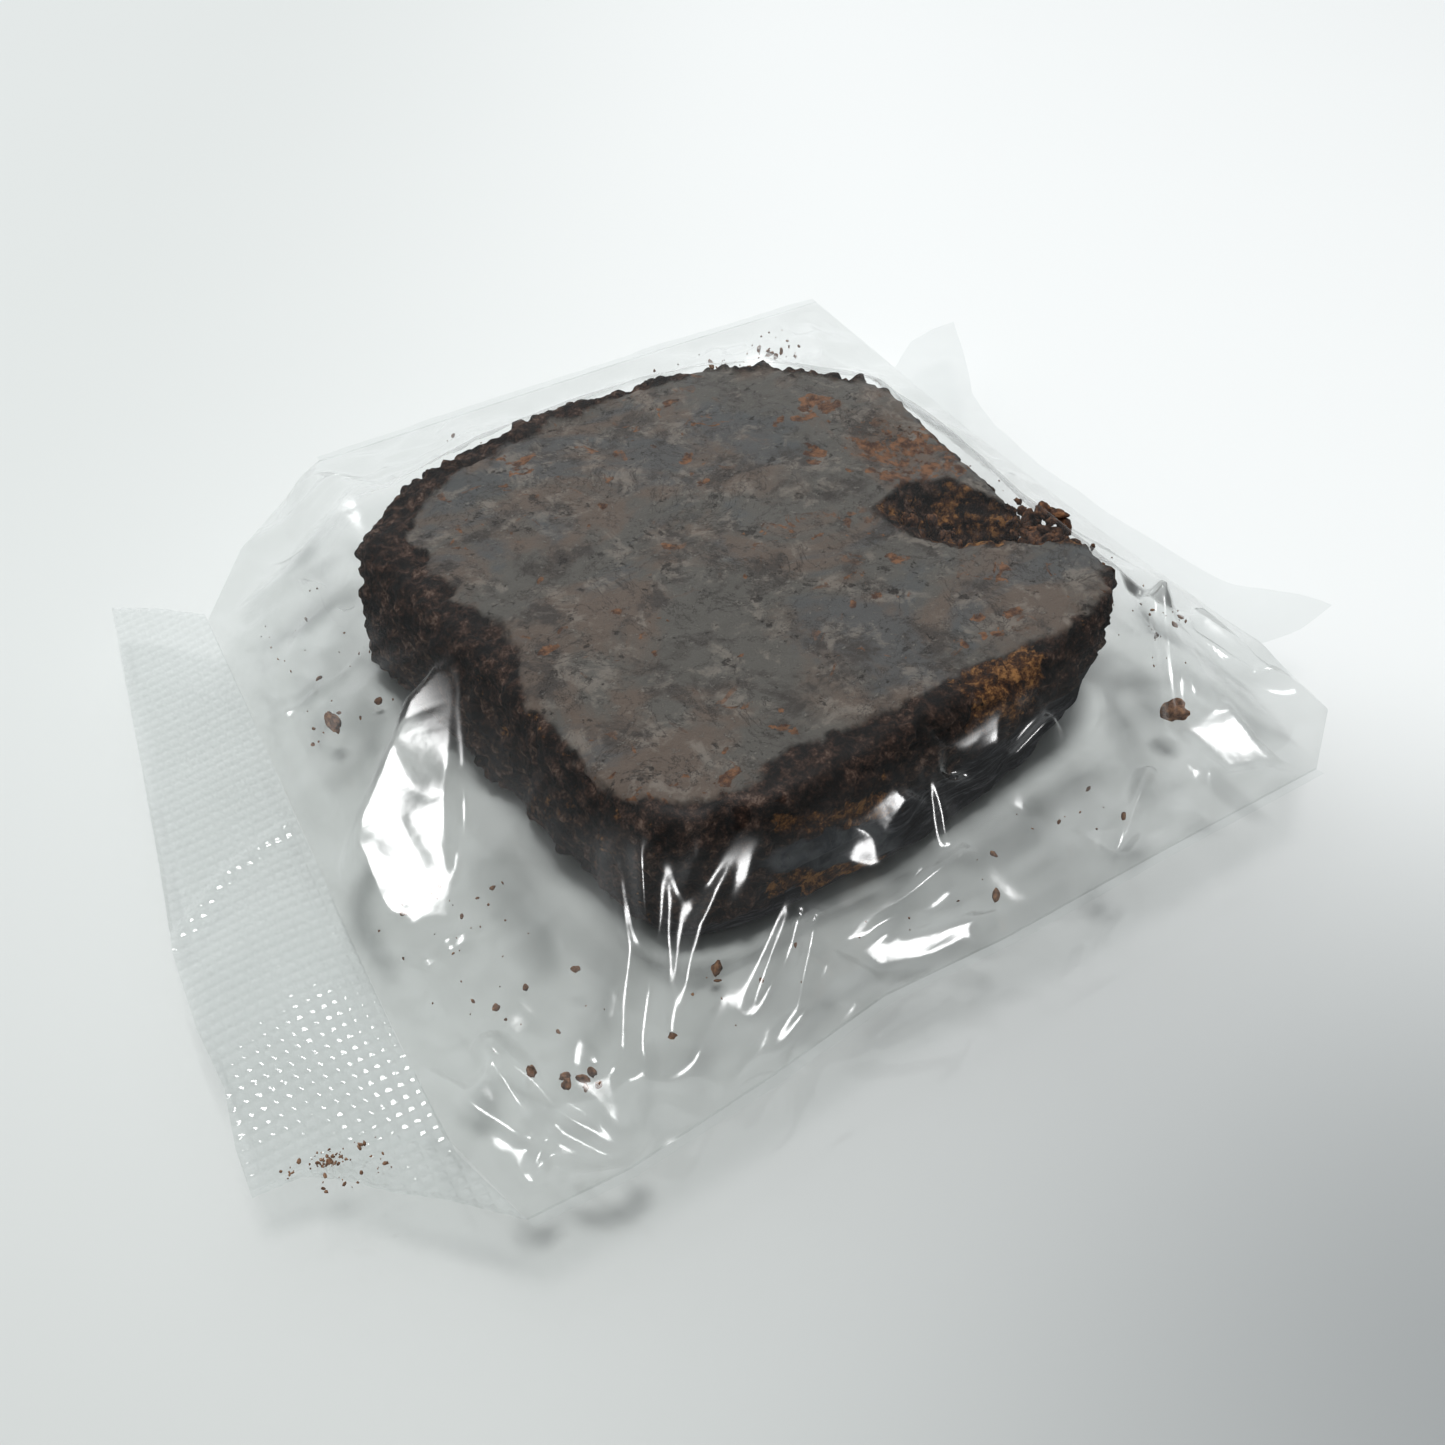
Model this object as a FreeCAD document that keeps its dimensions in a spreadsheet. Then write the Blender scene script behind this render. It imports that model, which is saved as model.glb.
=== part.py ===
import FreeCAD, Part
import os
import Sketcher
from FreeCAD import Base, Vector

# A block of dark pressed fibre, sealed in a clear film bag. All sizes are in millimetres.
# The origin is the middle of the footprint on the floor; +X runs from the crimped mouth
# seal to the tail seal and +Z is up.

SIZES = {
    "bag_length": 118.6,        # outer edge of the mouth seal to the tip of the tail seal's ear
    "bag_width": 92.4,          # over both side welds
    "film_thickness": 0.12,
    "weld_width": 2.0,
    "side_height": 9.0,         # height of the side welds above the floor
    "end_height": 6.0,          # height of the mouth and tail seals above the floor
    "block_length": 60.8,
    "block_width": 62.0,
    "block_height": 15.6,
    "block_centre_x": 2.9,
    "block_centre_y": 1.6,
    "block_foot_taper": 0.965,  # outline scale at the floor
    "block_crown_taper": 0.95,  # outline scale at the top face
    "crack_depth": 6.0,
    "slump_depth": 0.7,         # how far the lobe behind the crack has sunk
    "film_gap": 0.25,           # clearance between the film and what it covers
    "seal_pitch": 1.02,         # spacing of the crimp ribs
    "seal_teeth": 13,
    "seal_length": 77.0,        # along the mouth
    "seal_relief": 0.22,        # half the height of the crimp ribs
    "hinge_gap": 0.25,          # free film between a seal and the pillow
    "crumb_size": 1.7,
}

# Each outline below is a list of fractions, so that it follows the sizes it is drawn from.
# Block outline, counter-clockwise from the front left corner, as fractions of length and width.
BLOCK_OUTLINE = [
    (0.090, 0.055), (0.189, 0.006), (0.354, 0.000), (0.518, 0.010), (0.683, 0.018), (0.831, 0.042),
    (0.946, 0.087), (0.988, 0.184), (0.979, 0.329), (1.000, 0.474), (0.992, 0.635), (0.977, 0.781),
    (0.896, 0.877), (0.765, 0.968), (0.584, 1.000), (0.403, 1.000), (0.222, 0.974), (0.074, 0.918),
    (0.005, 0.803), (0.020, 0.603), (0.031, 0.410), (0.048, 0.216)]
# Heights of the block's rings as fractions of its height, with the outline scale at each.
BLOCK_RINGS = [(0.0, "block_foot_taper"), (0.22, None), (0.80, None), (1.0, "block_crown_taper")]

# Crack: a wedge open at the block's right-hand wall, and the lobe behind it.
CRACK_OUTLINE = [
    (1.060, 0.160), (0.950, 0.172), (0.880, 0.190), (0.810, 0.262), (0.750, 0.372), (0.728, 0.440),
    (0.765, 0.437), (0.830, 0.400), (0.905, 0.337), (0.980, 0.285), (1.060, 0.262)]
LOBE_OUTLINE = [
    (0.765, 0.445), (0.830, 0.405), (0.905, 0.345), (0.980, 0.290), (1.060, 0.270), (1.060, 0.700),
    (0.960, 0.640), (0.860, 0.560)]

# Rim of the pillow of film, one point per block outline point, as fractions of half the bag's
# length and half its inner width, and how far it rises from the end seals to the side welds.
RIM_OUTLINE = [
    (-0.740, -1.0, 1.0), (-0.408, -1.0, 1.0), (-0.169, -1.0, 1.0), (0.067, -1.0, 1.0), (0.304, -1.0, 1.0),
    (0.578, -1.0, 1.0), (0.706, -0.91, 0.6), (0.750, -0.656, 0.0), (0.750, -0.226, 0.0), (0.750, 0.045, 0.0),
    (0.750, 0.317, 0.0), (0.750, 0.656, 0.0), (0.735, 1.0, 1.0), (0.422, 1.0, 1.0), (0.169, 1.0, 1.0),
    (-0.101, 1.0, 1.0), (-0.405, 1.0, 1.0), (-0.612, 0.826, 0.6), (-0.7217, 0.656, 0.0),
    (-0.7389, 0.181, 0.0), (-0.7558, -0.317, 0.0), (-0.7740, -0.8145, 0.0)]
MOUTH_ENDS = (18, 21)   # rim points at the two ends of the straight mouth line
TAIL_ENDS = (7, 11)     # rim points at the two ends of the straight tail line
FRONT_ENDS = (0, 5)     # rim points at the two ends of the front side weld
REAR_ENDS = (16, 12)    # rim points at the two ends of the rear side weld

# Mouth seal outline: outwards as a fraction of the crimp's width, and from the rear end to the
# front end as a fraction of its length.
SEAL_OUTLINE = [
    (0.019, 0.088), (0.230, 0.085), (0.600, 0.001), (0.800, 0.290), (0.985, 0.610), (1.000, 0.800),
    (0.999, 0.920), (0.340, 0.980), (0.019, 0.999)]
SEAL_MIDDLE = 0.52      # where the middle of the mouth line falls along the seal's length
# Tail seal outline: out from the tail line and along it, as fractions of half the bag's length
# and half its inner width.
TAIL_OUTLINE = [
    (0.0042, -0.64), (0.127, -0.71), (0.062, -0.31), (0.052, 0.0), (0.082, 0.41),
    (0.250, 0.828), (0.106, 0.79), (0.0042, 0.69)]

# Crumbs between the webs: place round the block counted in outline points, how far out from the
# block to the rim as a fraction, and relative size.
LOOSE_CRUMBS = [
    (18.95, 0.54, 1.5), (20.35, 0.68, 1.2), (20.60, 0.60, 1.0), (20.90, 0.52, 1.0), (21.95, 0.50, 1.0),
    (0.40, 0.62, 0.8), (1.05, 0.36, 1.1), (3.15, 0.58, 1.2), (3.85, 0.34, 0.7), (4.90, 0.42, 0.7),
    (5.80, 0.42, 1.3), (7.70, 0.70, 1.0), (12.95, 0.62, 0.9), (12.50, 0.55, 1.0), (14.30, 0.54, 0.8),
    (15.50, 0.70, 0.9)]
# Crumbs in the crack: x and y as fractions of the block, height above its floor, relative size.
CRACK_CRUMBS = [
    (0.870, 0.270, 0.3, 1.1), (0.925, 0.240, 0.6, 1.3), (0.980, 0.225, 1.2, 1.2),
    (0.860, 0.335, 1.2, 0.8), (0.990, 0.235, 3.0, 0.9)]


def make_sheet(document):
    """Write the driving dimensions to a spreadsheet, one row each, with an alias in column B."""
    sheet = document.addObject("Spreadsheet::Sheet", "sizes")
    for row, (name, value) in enumerate(SIZES.items(), start=1):
        sheet.set(f"A{row}", name)
        sheet.set(f"B{row}", str(value))
        sheet.setAlias(f"B{row}", name)
    document.recompute()
    return sheet


def alias(name):
    """Expression text that reads one driving dimension."""
    return f"<<sizes>>.{name}"


def value(sheet, name):
    """Number held by one driving dimension."""
    return float(sheet.get(name))


def origin_plane(body, role):
    """One of a body's own origin planes, found by its role."""
    return next(item for item in body.Origin.OriginFeatures if item.Role == role)


def sketch_outline(body, name, points, height, shift):
    """Closed outline whose corners are bound to the sheet.

    points holds (x expression, y expression, x value, y value); height is the expression for
    the sketch's offset above the plane and shift the two expressions that move its origin.
    """
    sketch = body.newObject("Sketcher::SketchObject", name)
    sketch.AttachmentSupport = [(origin_plane(body, "XY_Plane"), "")]
    sketch.MapMode = "FlatFace"
    sketch.setExpression("AttachmentOffset.Base.x", shift[0])
    sketch.setExpression("AttachmentOffset.Base.y", shift[1])
    sketch.setExpression("AttachmentOffset.Base.z", height)
    corners = [Vector(x, y, 0) for _, _, x, y in points]
    draw_polygon(sketch, corners)
    for index, (x_text, y_text, x, y) in enumerate(points):
        bind_corner(sketch, index, x_text, y_text, x, y)
    return sketch


def draw_polygon(sketch, corners):
    """Closed chain of lines through the corners."""
    count = len(corners)
    for index in range(count):
        line = Part.LineSegment(corners[index], corners[(index + 1) % count])
        sketch.addGeometry(line, False)
    for index in range(count):
        joined = Sketcher.Constraint("Coincident", index, 2, (index + 1) % count, 1)
        sketch.addConstraint(joined)


def bind_corner(sketch, index, x_text, y_text, x, y):
    """Hold one corner at its two distances from the sketch's origin."""
    for kind, text, distance in (("DistanceX", x_text, x), ("DistanceY", y_text, y)):
        constraint = sketch.addConstraint(Sketcher.Constraint(kind, -1, 1, index, 1, distance))
        sketch.setExpression(f"Constraints[{constraint}]", text)


def scaled_fraction(fraction, taper):
    """Expression text for a fraction drawn in towards the middle by a taper in the sheet."""
    if taper is None:
        return f"{fraction}"
    return f"(0.5 + ({fraction} - 0.5) * {alias(taper)})"


def block_points(sheet, outline, taper=None):
    """Outline of the block at one height, measured from its front left corner."""
    length, width = value(sheet, "block_length"), value(sheet, "block_width")
    scale = 1.0 if taper is None else value(sheet, taper)
    margin = 0.1
    points = []
    for across, along in outline:
        x_text = f"{alias('block_length')} * ({scaled_fraction(across, taper)} + {margin})"
        y_text = f"{alias('block_width')} * ({scaled_fraction(along, taper)} + {margin})"
        x = length * (0.5 + (across - 0.5) * scale + margin)
        y = width * (0.5 + (along - 0.5) * scale + margin)
        points.append((x_text, y_text, x, y))
    return points


def block_shift():
    """Sketch origin: a margin outside the block's front left corner."""
    return (f"-{alias('block_length')} * 0.6", f"-{alias('block_width')} * 0.6")


def cut_from_top(body, sheet, name, outline, depth):
    """Pocket from the block's top face down, checked to remove material."""
    sketch = sketch_outline(
        body, name + "_outline", block_points(sheet, outline), alias("block_height"), block_shift())
    before = body.Tip.Shape.Volume
    pocket = body.newObject("PartDesign::Pocket", name)
    pocket.Profile = sketch
    pocket.setExpression("Length", alias(depth))
    body.Document.recompute()
    if not pocket.Shape.Volume < before - 1.0:
        pocket.Reversed = True
        body.Document.recompute()
    body.Tip = pocket


def make_block(document, sheet):
    """Pressed block: four outlines lofted upwards, then the crack and the slumped lobe cut in."""
    body = document.addObject("PartDesign::Body", "pressed_block")
    body.Label = "pressed_block"
    rings = []
    for index, (fraction, taper) in enumerate(BLOCK_RINGS):
        height = f"{alias('block_height')} * {fraction}"
        points = block_points(sheet, BLOCK_OUTLINE, taper)
        rings.append(sketch_outline(body, f"block_ring_{index}", points, height, block_shift()))
    document.recompute()
    loft = body.newObject("PartDesign::AdditiveLoft", "block_loft")
    loft.Profile = rings[0]
    loft.Sections = rings[1:]
    loft.Ruled = True
    body.Tip = loft
    document.recompute()
    cut_from_top(body, sheet, "lobe_slump", LOBE_OUTLINE, "slump_depth")
    cut_from_top(body, sheet, "crack", CRACK_OUTLINE, "crack_depth")
    body.setExpression("Placement.Base.x", alias("block_centre_x"))
    body.setExpression("Placement.Base.y", alias("block_centre_y"))
    body.setExpression("Placement.Base.z", f"{alias('film_thickness')} + {alias('film_gap')}")
    return body


def rim_points(sheet):
    """Rim of the pillow: where the upper and lower webs meet."""
    half_length = value(sheet, "bag_length") / 2
    half_width = value(sheet, "bag_width") / 2 - value(sheet, "weld_width")
    low, high = value(sheet, "end_height"), value(sheet, "side_height")
    return [Vector(x * half_length, y * half_width, low + (high - low) * rise)
            for x, y, rise in RIM_OUTLINE]


def hug_points(sheet, height, scale):
    """Ring of film around the block at one height, a little outside its wall."""
    length, width = value(sheet, "block_length"), value(sheet, "block_width")
    centre = Vector(value(sheet, "block_centre_x"), value(sheet, "block_centre_y"), height)
    return [centre + Vector((x - 0.5) * length * scale, (y - 0.5) * width * scale, 0)
            for x, y in BLOCK_OUTLINE]


def web_shape(outer, inner, thickness):
    """Closed thin solid: a skirt from the outer ring to the inner ring, and a flat cap inside it.

    The skirt is made of triangles, so that every face is flat, and the underside is the
    upper side moved down by the film's thickness.
    """
    drop = Vector(0, 0, -thickness)
    faces = []
    count = len(outer)
    for index in range(count):
        after = (index + 1) % count
        triangles = [(outer[index], outer[after], inner[after]), (outer[index], inner[after], inner[index])]
        for triangle in triangles:
            faces.append(polygon_face(triangle))
            faces.append(polygon_face([corner + drop for corner in triangle]))
        edge = [outer[index], outer[after], outer[after] + drop, outer[index] + drop]
        faces.append(polygon_face(edge))
    faces.append(polygon_face(inner))
    faces.append(polygon_face([corner + drop for corner in inner]))
    shell = Part.makeShell(faces)
    shell.sewShape()
    solid = Part.makeSolid(shell)
    if solid.Volume < 0:
        solid.reverse()
    return solid


def polygon_face(corners):
    """Flat face through the corners."""
    closed = list(corners) + [corners[0]]
    return Part.Face(Part.makePolygon(closed))


def make_web(document, sheet, name, rim, hug):
    """One film web as a feature whose shape is built from the sheet's sizes."""
    feature = document.addObject("Part::Feature", name)
    feature.Shape = web_shape(rim, hug, value(sheet, "film_thickness"))
    feature.Label = name
    feature.Placement = Base.Placement()
    return feature


def make_film(document, sheet):
    """Upper and lower webs, which touch along the rim."""
    thickness, gap = value(sheet, "film_thickness"), value(sheet, "film_gap")
    crown = thickness + gap + value(sheet, "block_height") + gap + thickness
    rim = rim_points(sheet)
    lift = Vector(0, 0, thickness)
    upper_rim = [corner + lift for corner in rim]
    upper = make_web(document, sheet, "film_upper", upper_rim, hug_points(sheet, crown, 1.02))
    lower = make_web(document, sheet, "film_lower", rim, hug_points(sheet, thickness, 1.0))
    return upper, lower


def make_weld(document, sheet, name, ends, side):
    """Side weld: both webs pressed into one flat strip along a straight run of the rim."""
    weld = document.addObject("Part::Box", name)
    weld.Label = name
    first, last = (RIM_OUTLINE[index][0] for index in ends)
    half = f"{alias('bag_length')} / 2"
    weld.setExpression("Length", f"{half} * {last - first}")
    weld.setExpression("Width", alias("weld_width"))
    weld.setExpression("Height", f"2 * {alias('film_thickness')}")
    weld.setExpression("Placement.Base.x", f"{half} * {first}")
    inner = f"{alias('bag_width')} / 2 - {alias('weld_width')}"
    weld.setExpression("Placement.Base.y", inner if side > 0 else f"-{alias('bag_width')} / 2")
    weld.setExpression("Placement.Base.z", f"{alias('side_height')} - {alias('film_thickness')}")
    return weld


def crimp_profile(sheet):
    """Cross-section of the crimp: a zigzag strip of even depth, drawn in x and z."""
    teeth = int(value(sheet, "seal_teeth"))
    pitch, gap = alias("seal_pitch"), alias("hinge_gap")
    relief, thickness = alias("seal_relief"), alias("film_thickness")
    base = 2.0
    upper, lower = [], []
    for step in range(2 * teeth + 1):
        reach = f"{gap} + {step / 2} * {pitch}"
        swing = 0 if step in (0, 2 * teeth) else (1 if step % 2 else -1)
        middle = f"{base} + {swing} * {relief}"
        x = value(sheet, "hinge_gap") + step / 2 * value(sheet, "seal_pitch")
        z = base + swing * value(sheet, "seal_relief")
        film = value(sheet, "film_thickness")
        upper.append((reach, f"{middle} + {thickness}", x, z + film))
        lower.append((reach, f"{middle} - {thickness}", x, z - film))
    return upper + lower[::-1], base


def make_mouth_seal(document, sheet):
    """Crimped band: the zigzag section drawn out along the mouth, then trimmed to its outline."""
    body = document.addObject("PartDesign::Body", "mouth_seal")
    body.Label = "mouth_seal"
    points, base = crimp_profile(sheet)
    profile = body.newObject("Sketcher::SketchObject", "crimp_profile")
    profile.AttachmentSupport = [(origin_plane(body, "XZ_Plane"), "")]
    profile.MapMode = "FlatFace"
    profile.AttachmentOffset = Base.Placement(Vector(0, -base, 0), Base.Rotation())
    draw_polygon(profile, [Vector(x, z, 0) for _, _, x, z in points])
    for index, (x_text, z_text, x, z) in enumerate(points):
        bind_corner(profile, index, x_text, z_text, x, z)
    document.recompute()
    pad = body.newObject("PartDesign::Pad", "crimp_pad")
    pad.Profile = profile
    pad.Midplane = True
    pad.setExpression("Length", f"{alias('seal_length')} * 1.1")
    body.Tip = pad
    document.recompute()
    trim_seal(body, sheet)
    place_mouth_seal(body, sheet)
    return body


def trim_seal(body, sheet):
    """Cut away everything outside the seal's outline."""
    width = value(sheet, "seal_teeth") * value(sheet, "seal_pitch") + value(sheet, "hinge_gap")
    length = value(sheet, "seal_length")
    width_text = f"({alias('seal_teeth')} * {alias('seal_pitch')} + {alias('hinge_gap')})"
    length_text = alias("seal_length")
    margin = 0.1
    outline = [(f"{width_text} * {across}", f"{length_text} * {along + margin}",
                width * across, length * (along + margin)) for across, along in SEAL_OUTLINE]
    frame = [(f"{width_text} * {across}", f"{length_text} * {along}", width * across, length * along)
             for across, along in ((0.001, 0.01), (1.2, 0.01), (1.2, 1.2), (0.001, 1.2))]
    shift = ("0", f"-{length_text} * {SEAL_MIDDLE + margin}")
    keep = sketch_outline(body, "seal_outline", outline, "2", shift)
    draw_frame(keep, frame, len(outline))
    before = body.Tip.Shape.Volume
    pocket = body.newObject("PartDesign::Pocket", "seal_trim")
    pocket.Profile = keep
    pocket.Length = 4.0
    body.Document.recompute()
    if not pocket.Shape.Volume < before - 1.0:
        pocket.Reversed = True
        body.Document.recompute()
    body.Tip = pocket


def draw_frame(sketch, points, first):
    """Second closed outline in a sketch that already holds `first` lines."""
    count = len(points)
    corners = [Vector(x, y, 0) for _, _, x, y in points]
    for index in range(count):
        line = Part.LineSegment(corners[index], corners[(index + 1) % count])
        sketch.addGeometry(line, False)
    for index in range(count):
        after = first + (index + 1) % count
        sketch.addConstraint(Sketcher.Constraint("Coincident", first + index, 2, after, 1))
    for index, (x_text, y_text, x, y) in enumerate(points):
        bind_corner(sketch, first + index, x_text, y_text, x, y)


def place_mouth_seal(body, sheet):
    """Turn the seal so that it leaves the pillow along the mouth line."""
    rim = rim_points(sheet)
    rear, front = (rim[index] for index in MOUTH_ENDS)
    middle = (rear + front) * 0.5
    along = rear - front
    turn = Base.Rotation(Vector(0, 1, 0), along)
    flip = Base.Rotation(Vector(0, 0, 1), 180)
    body.Placement = Base.Placement(middle, turn.multiply(flip))


def make_tail_seal(document, sheet):
    """Plain end seal with its pointed ear, drawn out from the tail line."""
    body = document.addObject("PartDesign::Body", "tail_seal")
    body.Label = "tail_seal"
    half_length = value(sheet, "bag_length") / 2
    half_width = value(sheet, "bag_width") / 2 - value(sheet, "weld_width")
    length_text = f"{alias('bag_length')} / 2"
    width_text = f"({alias('bag_width')} / 2 - {alias('weld_width')})"
    lift = 1.2
    points = [(f"{length_text} * {out}", f"{width_text} * {along + lift}",
               half_length * out, half_width * (along + lift)) for out, along in TAIL_OUTLINE]
    sketch = sketch_outline(body, "tail_outline", points, "0", ("0", f"-{width_text} * {lift}"))
    document.recompute()
    pad = body.newObject("PartDesign::Pad", "tail_pad")
    pad.Profile = sketch
    pad.Midplane = True
    pad.setExpression("Length", f"2 * {alias('film_thickness')}")
    body.Tip = pad
    body.setExpression("Placement.Base.x", f"{length_text} * {RIM_OUTLINE[TAIL_ENDS[0]][0]}")
    body.setExpression("Placement.Base.z", alias("end_height"))
    document.recompute()
    return body


def skirt_height(x, y, outer, inner):
    """Height of a web's skirt above the point (x, y), or of its cap inside the inner ring."""
    count = len(outer)
    for index in range(count):
        after = (index + 1) % count
        for triangle in ((outer[index], outer[after], inner[after]),
                         (outer[index], inner[after], inner[index])):
            height = height_on_triangle(x, y, triangle)
            if height is not None:
                return height
    return inner[0].z


def height_on_triangle(x, y, triangle):
    """Height of a triangle above (x, y), or None where the point is outside it."""
    a, b, c = triangle
    area = (b.x - a.x) * (c.y - a.y) - (c.x - a.x) * (b.y - a.y)
    v = ((x - a.x) * (c.y - a.y) - (c.x - a.x) * (y - a.y)) / area
    w = ((b.x - a.x) * (y - a.y) - (x - a.x) * (b.y - a.y)) / area
    if v < 0 or w < 0 or v + w > 1:
        return None
    return a.z + (b.z - a.z) * v + (c.z - a.z) * w


COMPASS = [(1, 0), (0.7, 0.7), (0, 1), (-0.7, 0.7), (-1, 0), (-0.7, -0.7), (0, -1), (0.7, -0.7)]


def make_crumb(document, name, size, position, turn):
    """One crumb: a small wedge with its top drawn in, bound to the crumb size."""
    crumb = document.addObject("Part::Wedge", name)
    for prop, factor in (("Xmin", -0.6), ("Xmax", 0.6), ("X2min", -0.25), ("X2max", 0.3),
                         ("Zmin", -0.45), ("Zmax", 0.5), ("Z2min", -0.2), ("Z2max", 0.15),
                         ("Ymin", 0.0), ("Ymax", 0.55)):
        crumb.setExpression(prop, f"{alias('crumb_size')} * {factor * size}")
    upright = Base.Rotation(Vector(1, 0, 0), 90)
    crumb.Placement = Base.Placement(position, Base.Rotation(Vector(0, 0, 1), turn).multiply(upright))
    return crumb


def group_crumbs(document, name, crumbs):
    """One node holding all the crumbs of one kind as separate solids."""
    group = document.addObject("Part::Compound", name)
    group.Label = name
    group.Links = crumbs
    return group


def between(first, second, share):
    """Point a given share of the way from the first point to the second."""
    return first + (second - first) * share


def make_loose_crumbs(document, sheet):
    """Crumbs lying on the lower web between the block and the rim, clear of both webs."""
    rim, hug = rim_points(sheet), hug_points(sheet, value(sheet, "film_thickness"), 1.0)
    lift = value(sheet, "film_gap") / 2
    crumbs = []
    for index, (place, out, size) in enumerate(LOOSE_CRUMBS):
        start = int(place)
        after = (start + 1) % len(rim)
        near = between(hug[start], hug[after], place - start)
        far = between(rim[start], rim[after], place - start)
        spot = between(near, far, out)
        reach = value(sheet, "crumb_size") * size * 0.78
        ring = [(spot.x + reach * dx, spot.y + reach * dy) for dx, dy in COMPASS]
        floor = max(skirt_height(x, y, rim, hug) for x, y in ring)
        position = Vector(spot.x, spot.y, floor + lift)
        crumbs.append(make_crumb(document, f"loose_crumb_{index}", size, position, 40 * index))
    return group_crumbs(document, "loose_crumbs", crumbs)


def make_crack_crumbs(document, sheet):
    """Crumbs standing on the floor of the crack."""
    length, width = value(sheet, "block_length"), value(sheet, "block_width")
    base = value(sheet, "film_thickness") + value(sheet, "film_gap")
    floor = base + value(sheet, "block_height") - value(sheet, "crack_depth")
    crumbs = []
    for index, (across, along, lift, size) in enumerate(CRACK_CRUMBS):
        x = value(sheet, "block_centre_x") + (across - 0.5) * length
        y = value(sheet, "block_centre_y") + (along - 0.5) * width
        position = Vector(x, y, floor + lift)
        crumbs.append(make_crumb(document, f"crack_crumb_{index}", size, position, 55 * index))
    return group_crumbs(document, "crack_crumbs", crumbs)


def check(document, nodes):
    """Stop if any object failed to build or any node's shape is missing or broken."""
    for item in document.Objects:
        if "Invalid" in item.State or "Error" in item.State:
            raise RuntimeError(f"{item.Name} did not build: {item.State}")
    for node in nodes:
        if node.Shape.isNull() or not node.Shape.isValid():
            raise RuntimeError(f"{node.Label} has no valid shape")


def write_parts(nodes):
    """One STEP file per node."""
    os.makedirs("parts", exist_ok=True)
    for node in nodes:
        node.Shape.exportStep(os.path.join("parts", node.Label + ".step"))


def main():
    document = FreeCAD.newDocument("pressed_block_in_bag")
    sheet = make_sheet(document)
    block = make_block(document, sheet)
    upper, lower = make_film(document, sheet)
    front = make_weld(document, sheet, "front_side_weld", FRONT_ENDS, -1)
    rear = make_weld(document, sheet, "rear_side_weld", REAR_ENDS, 1)
    mouth = make_mouth_seal(document, sheet)
    tail = make_tail_seal(document, sheet)
    loose = make_loose_crumbs(document, sheet)
    cracked = make_crack_crumbs(document, sheet)
    document.recompute()
    nodes = [block, upper, lower, front, rear, mouth, tail, loose, cracked]
    check(document, nodes)
    write_parts(nodes)
    for node in nodes:
        box = node.Shape.BoundBox
        print(node.Label, len(node.Shape.Solids), round(node.Shape.Volume, 1), box)


main()
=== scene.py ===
import math

import bmesh
import bpy
import numpy as np
from mathutils import Euler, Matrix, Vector


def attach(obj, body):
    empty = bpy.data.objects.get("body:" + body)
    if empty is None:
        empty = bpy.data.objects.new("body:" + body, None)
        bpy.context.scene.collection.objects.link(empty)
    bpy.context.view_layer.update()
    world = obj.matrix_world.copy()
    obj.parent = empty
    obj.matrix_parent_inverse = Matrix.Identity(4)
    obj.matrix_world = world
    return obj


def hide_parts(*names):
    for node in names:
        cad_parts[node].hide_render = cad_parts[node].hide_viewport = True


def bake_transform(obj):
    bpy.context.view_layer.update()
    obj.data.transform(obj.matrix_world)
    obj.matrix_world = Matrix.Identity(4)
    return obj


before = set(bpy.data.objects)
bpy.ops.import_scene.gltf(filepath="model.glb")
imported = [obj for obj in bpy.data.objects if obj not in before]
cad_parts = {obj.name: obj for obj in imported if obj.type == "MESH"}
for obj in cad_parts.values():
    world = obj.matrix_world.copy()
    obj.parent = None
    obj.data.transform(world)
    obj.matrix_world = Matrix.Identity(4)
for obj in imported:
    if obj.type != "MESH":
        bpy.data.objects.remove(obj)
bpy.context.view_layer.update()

MM = 0.001
HASH_FACTORS = np.array([374761393, 668265263, 2147483647], np.int64)


# ---------------------------------------------------------------- noise and curves

def hashed(cells, seed):
    """Repeatable number from -1 to 1 for each lattice cell."""
    h = cells @ HASH_FACTORS + seed * 974634777
    h = (h ^ (h >> 13)) & 0xFFFFFFFF
    h = (h * 1274126177) & 0xFFFFFFFF
    h = (h ^ (h >> 16)) & 0xFFFFFFFF
    return h.astype(float) / 0x7FFFFFFF - 1.0


def noise(points, size, seed):
    """Smooth value noise from -1 to 1, with features about `size` across."""
    q = np.asarray(points, float) / size
    if q.shape[1] == 2:
        q = np.column_stack([q, np.zeros(len(q))])
    base = np.floor(q).astype(np.int64)
    f = q - base
    f = f * f * f * (f * (f * 6 - 15) + 10)
    total = np.zeros(len(q))
    for dx in (0, 1):
        for dy in (0, 1):
            for dz in (0, 1):
                weight = np.abs(1 - dx - f[:, 0]) * np.abs(1 - dy - f[:, 1]) * np.abs(1 - dz - f[:, 2])
                total += weight * hashed(base + np.array([dx, dy, dz]), seed)
    return total


def fractal(points, size, seed, octaves=3, gain=0.5):
    """Several sizes of noise added together."""
    total, amount = np.zeros(len(points)), 1.0
    for k in range(octaves):
        total += amount * noise(points, size * 0.5 ** k, seed + 17 * k)
        amount *= gain
    return total


def smoothstep(low, high, x):
    t = np.clip((x - low) / (high - low), 0, 1)
    return t * t * (3 - 2 * t)


def closed_curve(corners, count):
    """Smooth closed curve through the corners, evenly spaced."""
    p = np.asarray(corners, float)
    n = len(p)
    steps = 24
    out = []
    for i in range(n):
        a, b, c, d = p[i - 1], p[i], p[(i + 1) % n], p[(i + 2) % n]
        for k in range(steps):
            t = k / steps
            out.append(0.5 * (2 * b + (c - a) * t + (2 * a - 5 * b + 4 * c - d) * t ** 2
                              + (3 * b - a - 3 * c + d) * t ** 3))
    out = np.array(out)
    return resample(np.vstack([out, out[:1]]), count + 1)[:-1]


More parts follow.
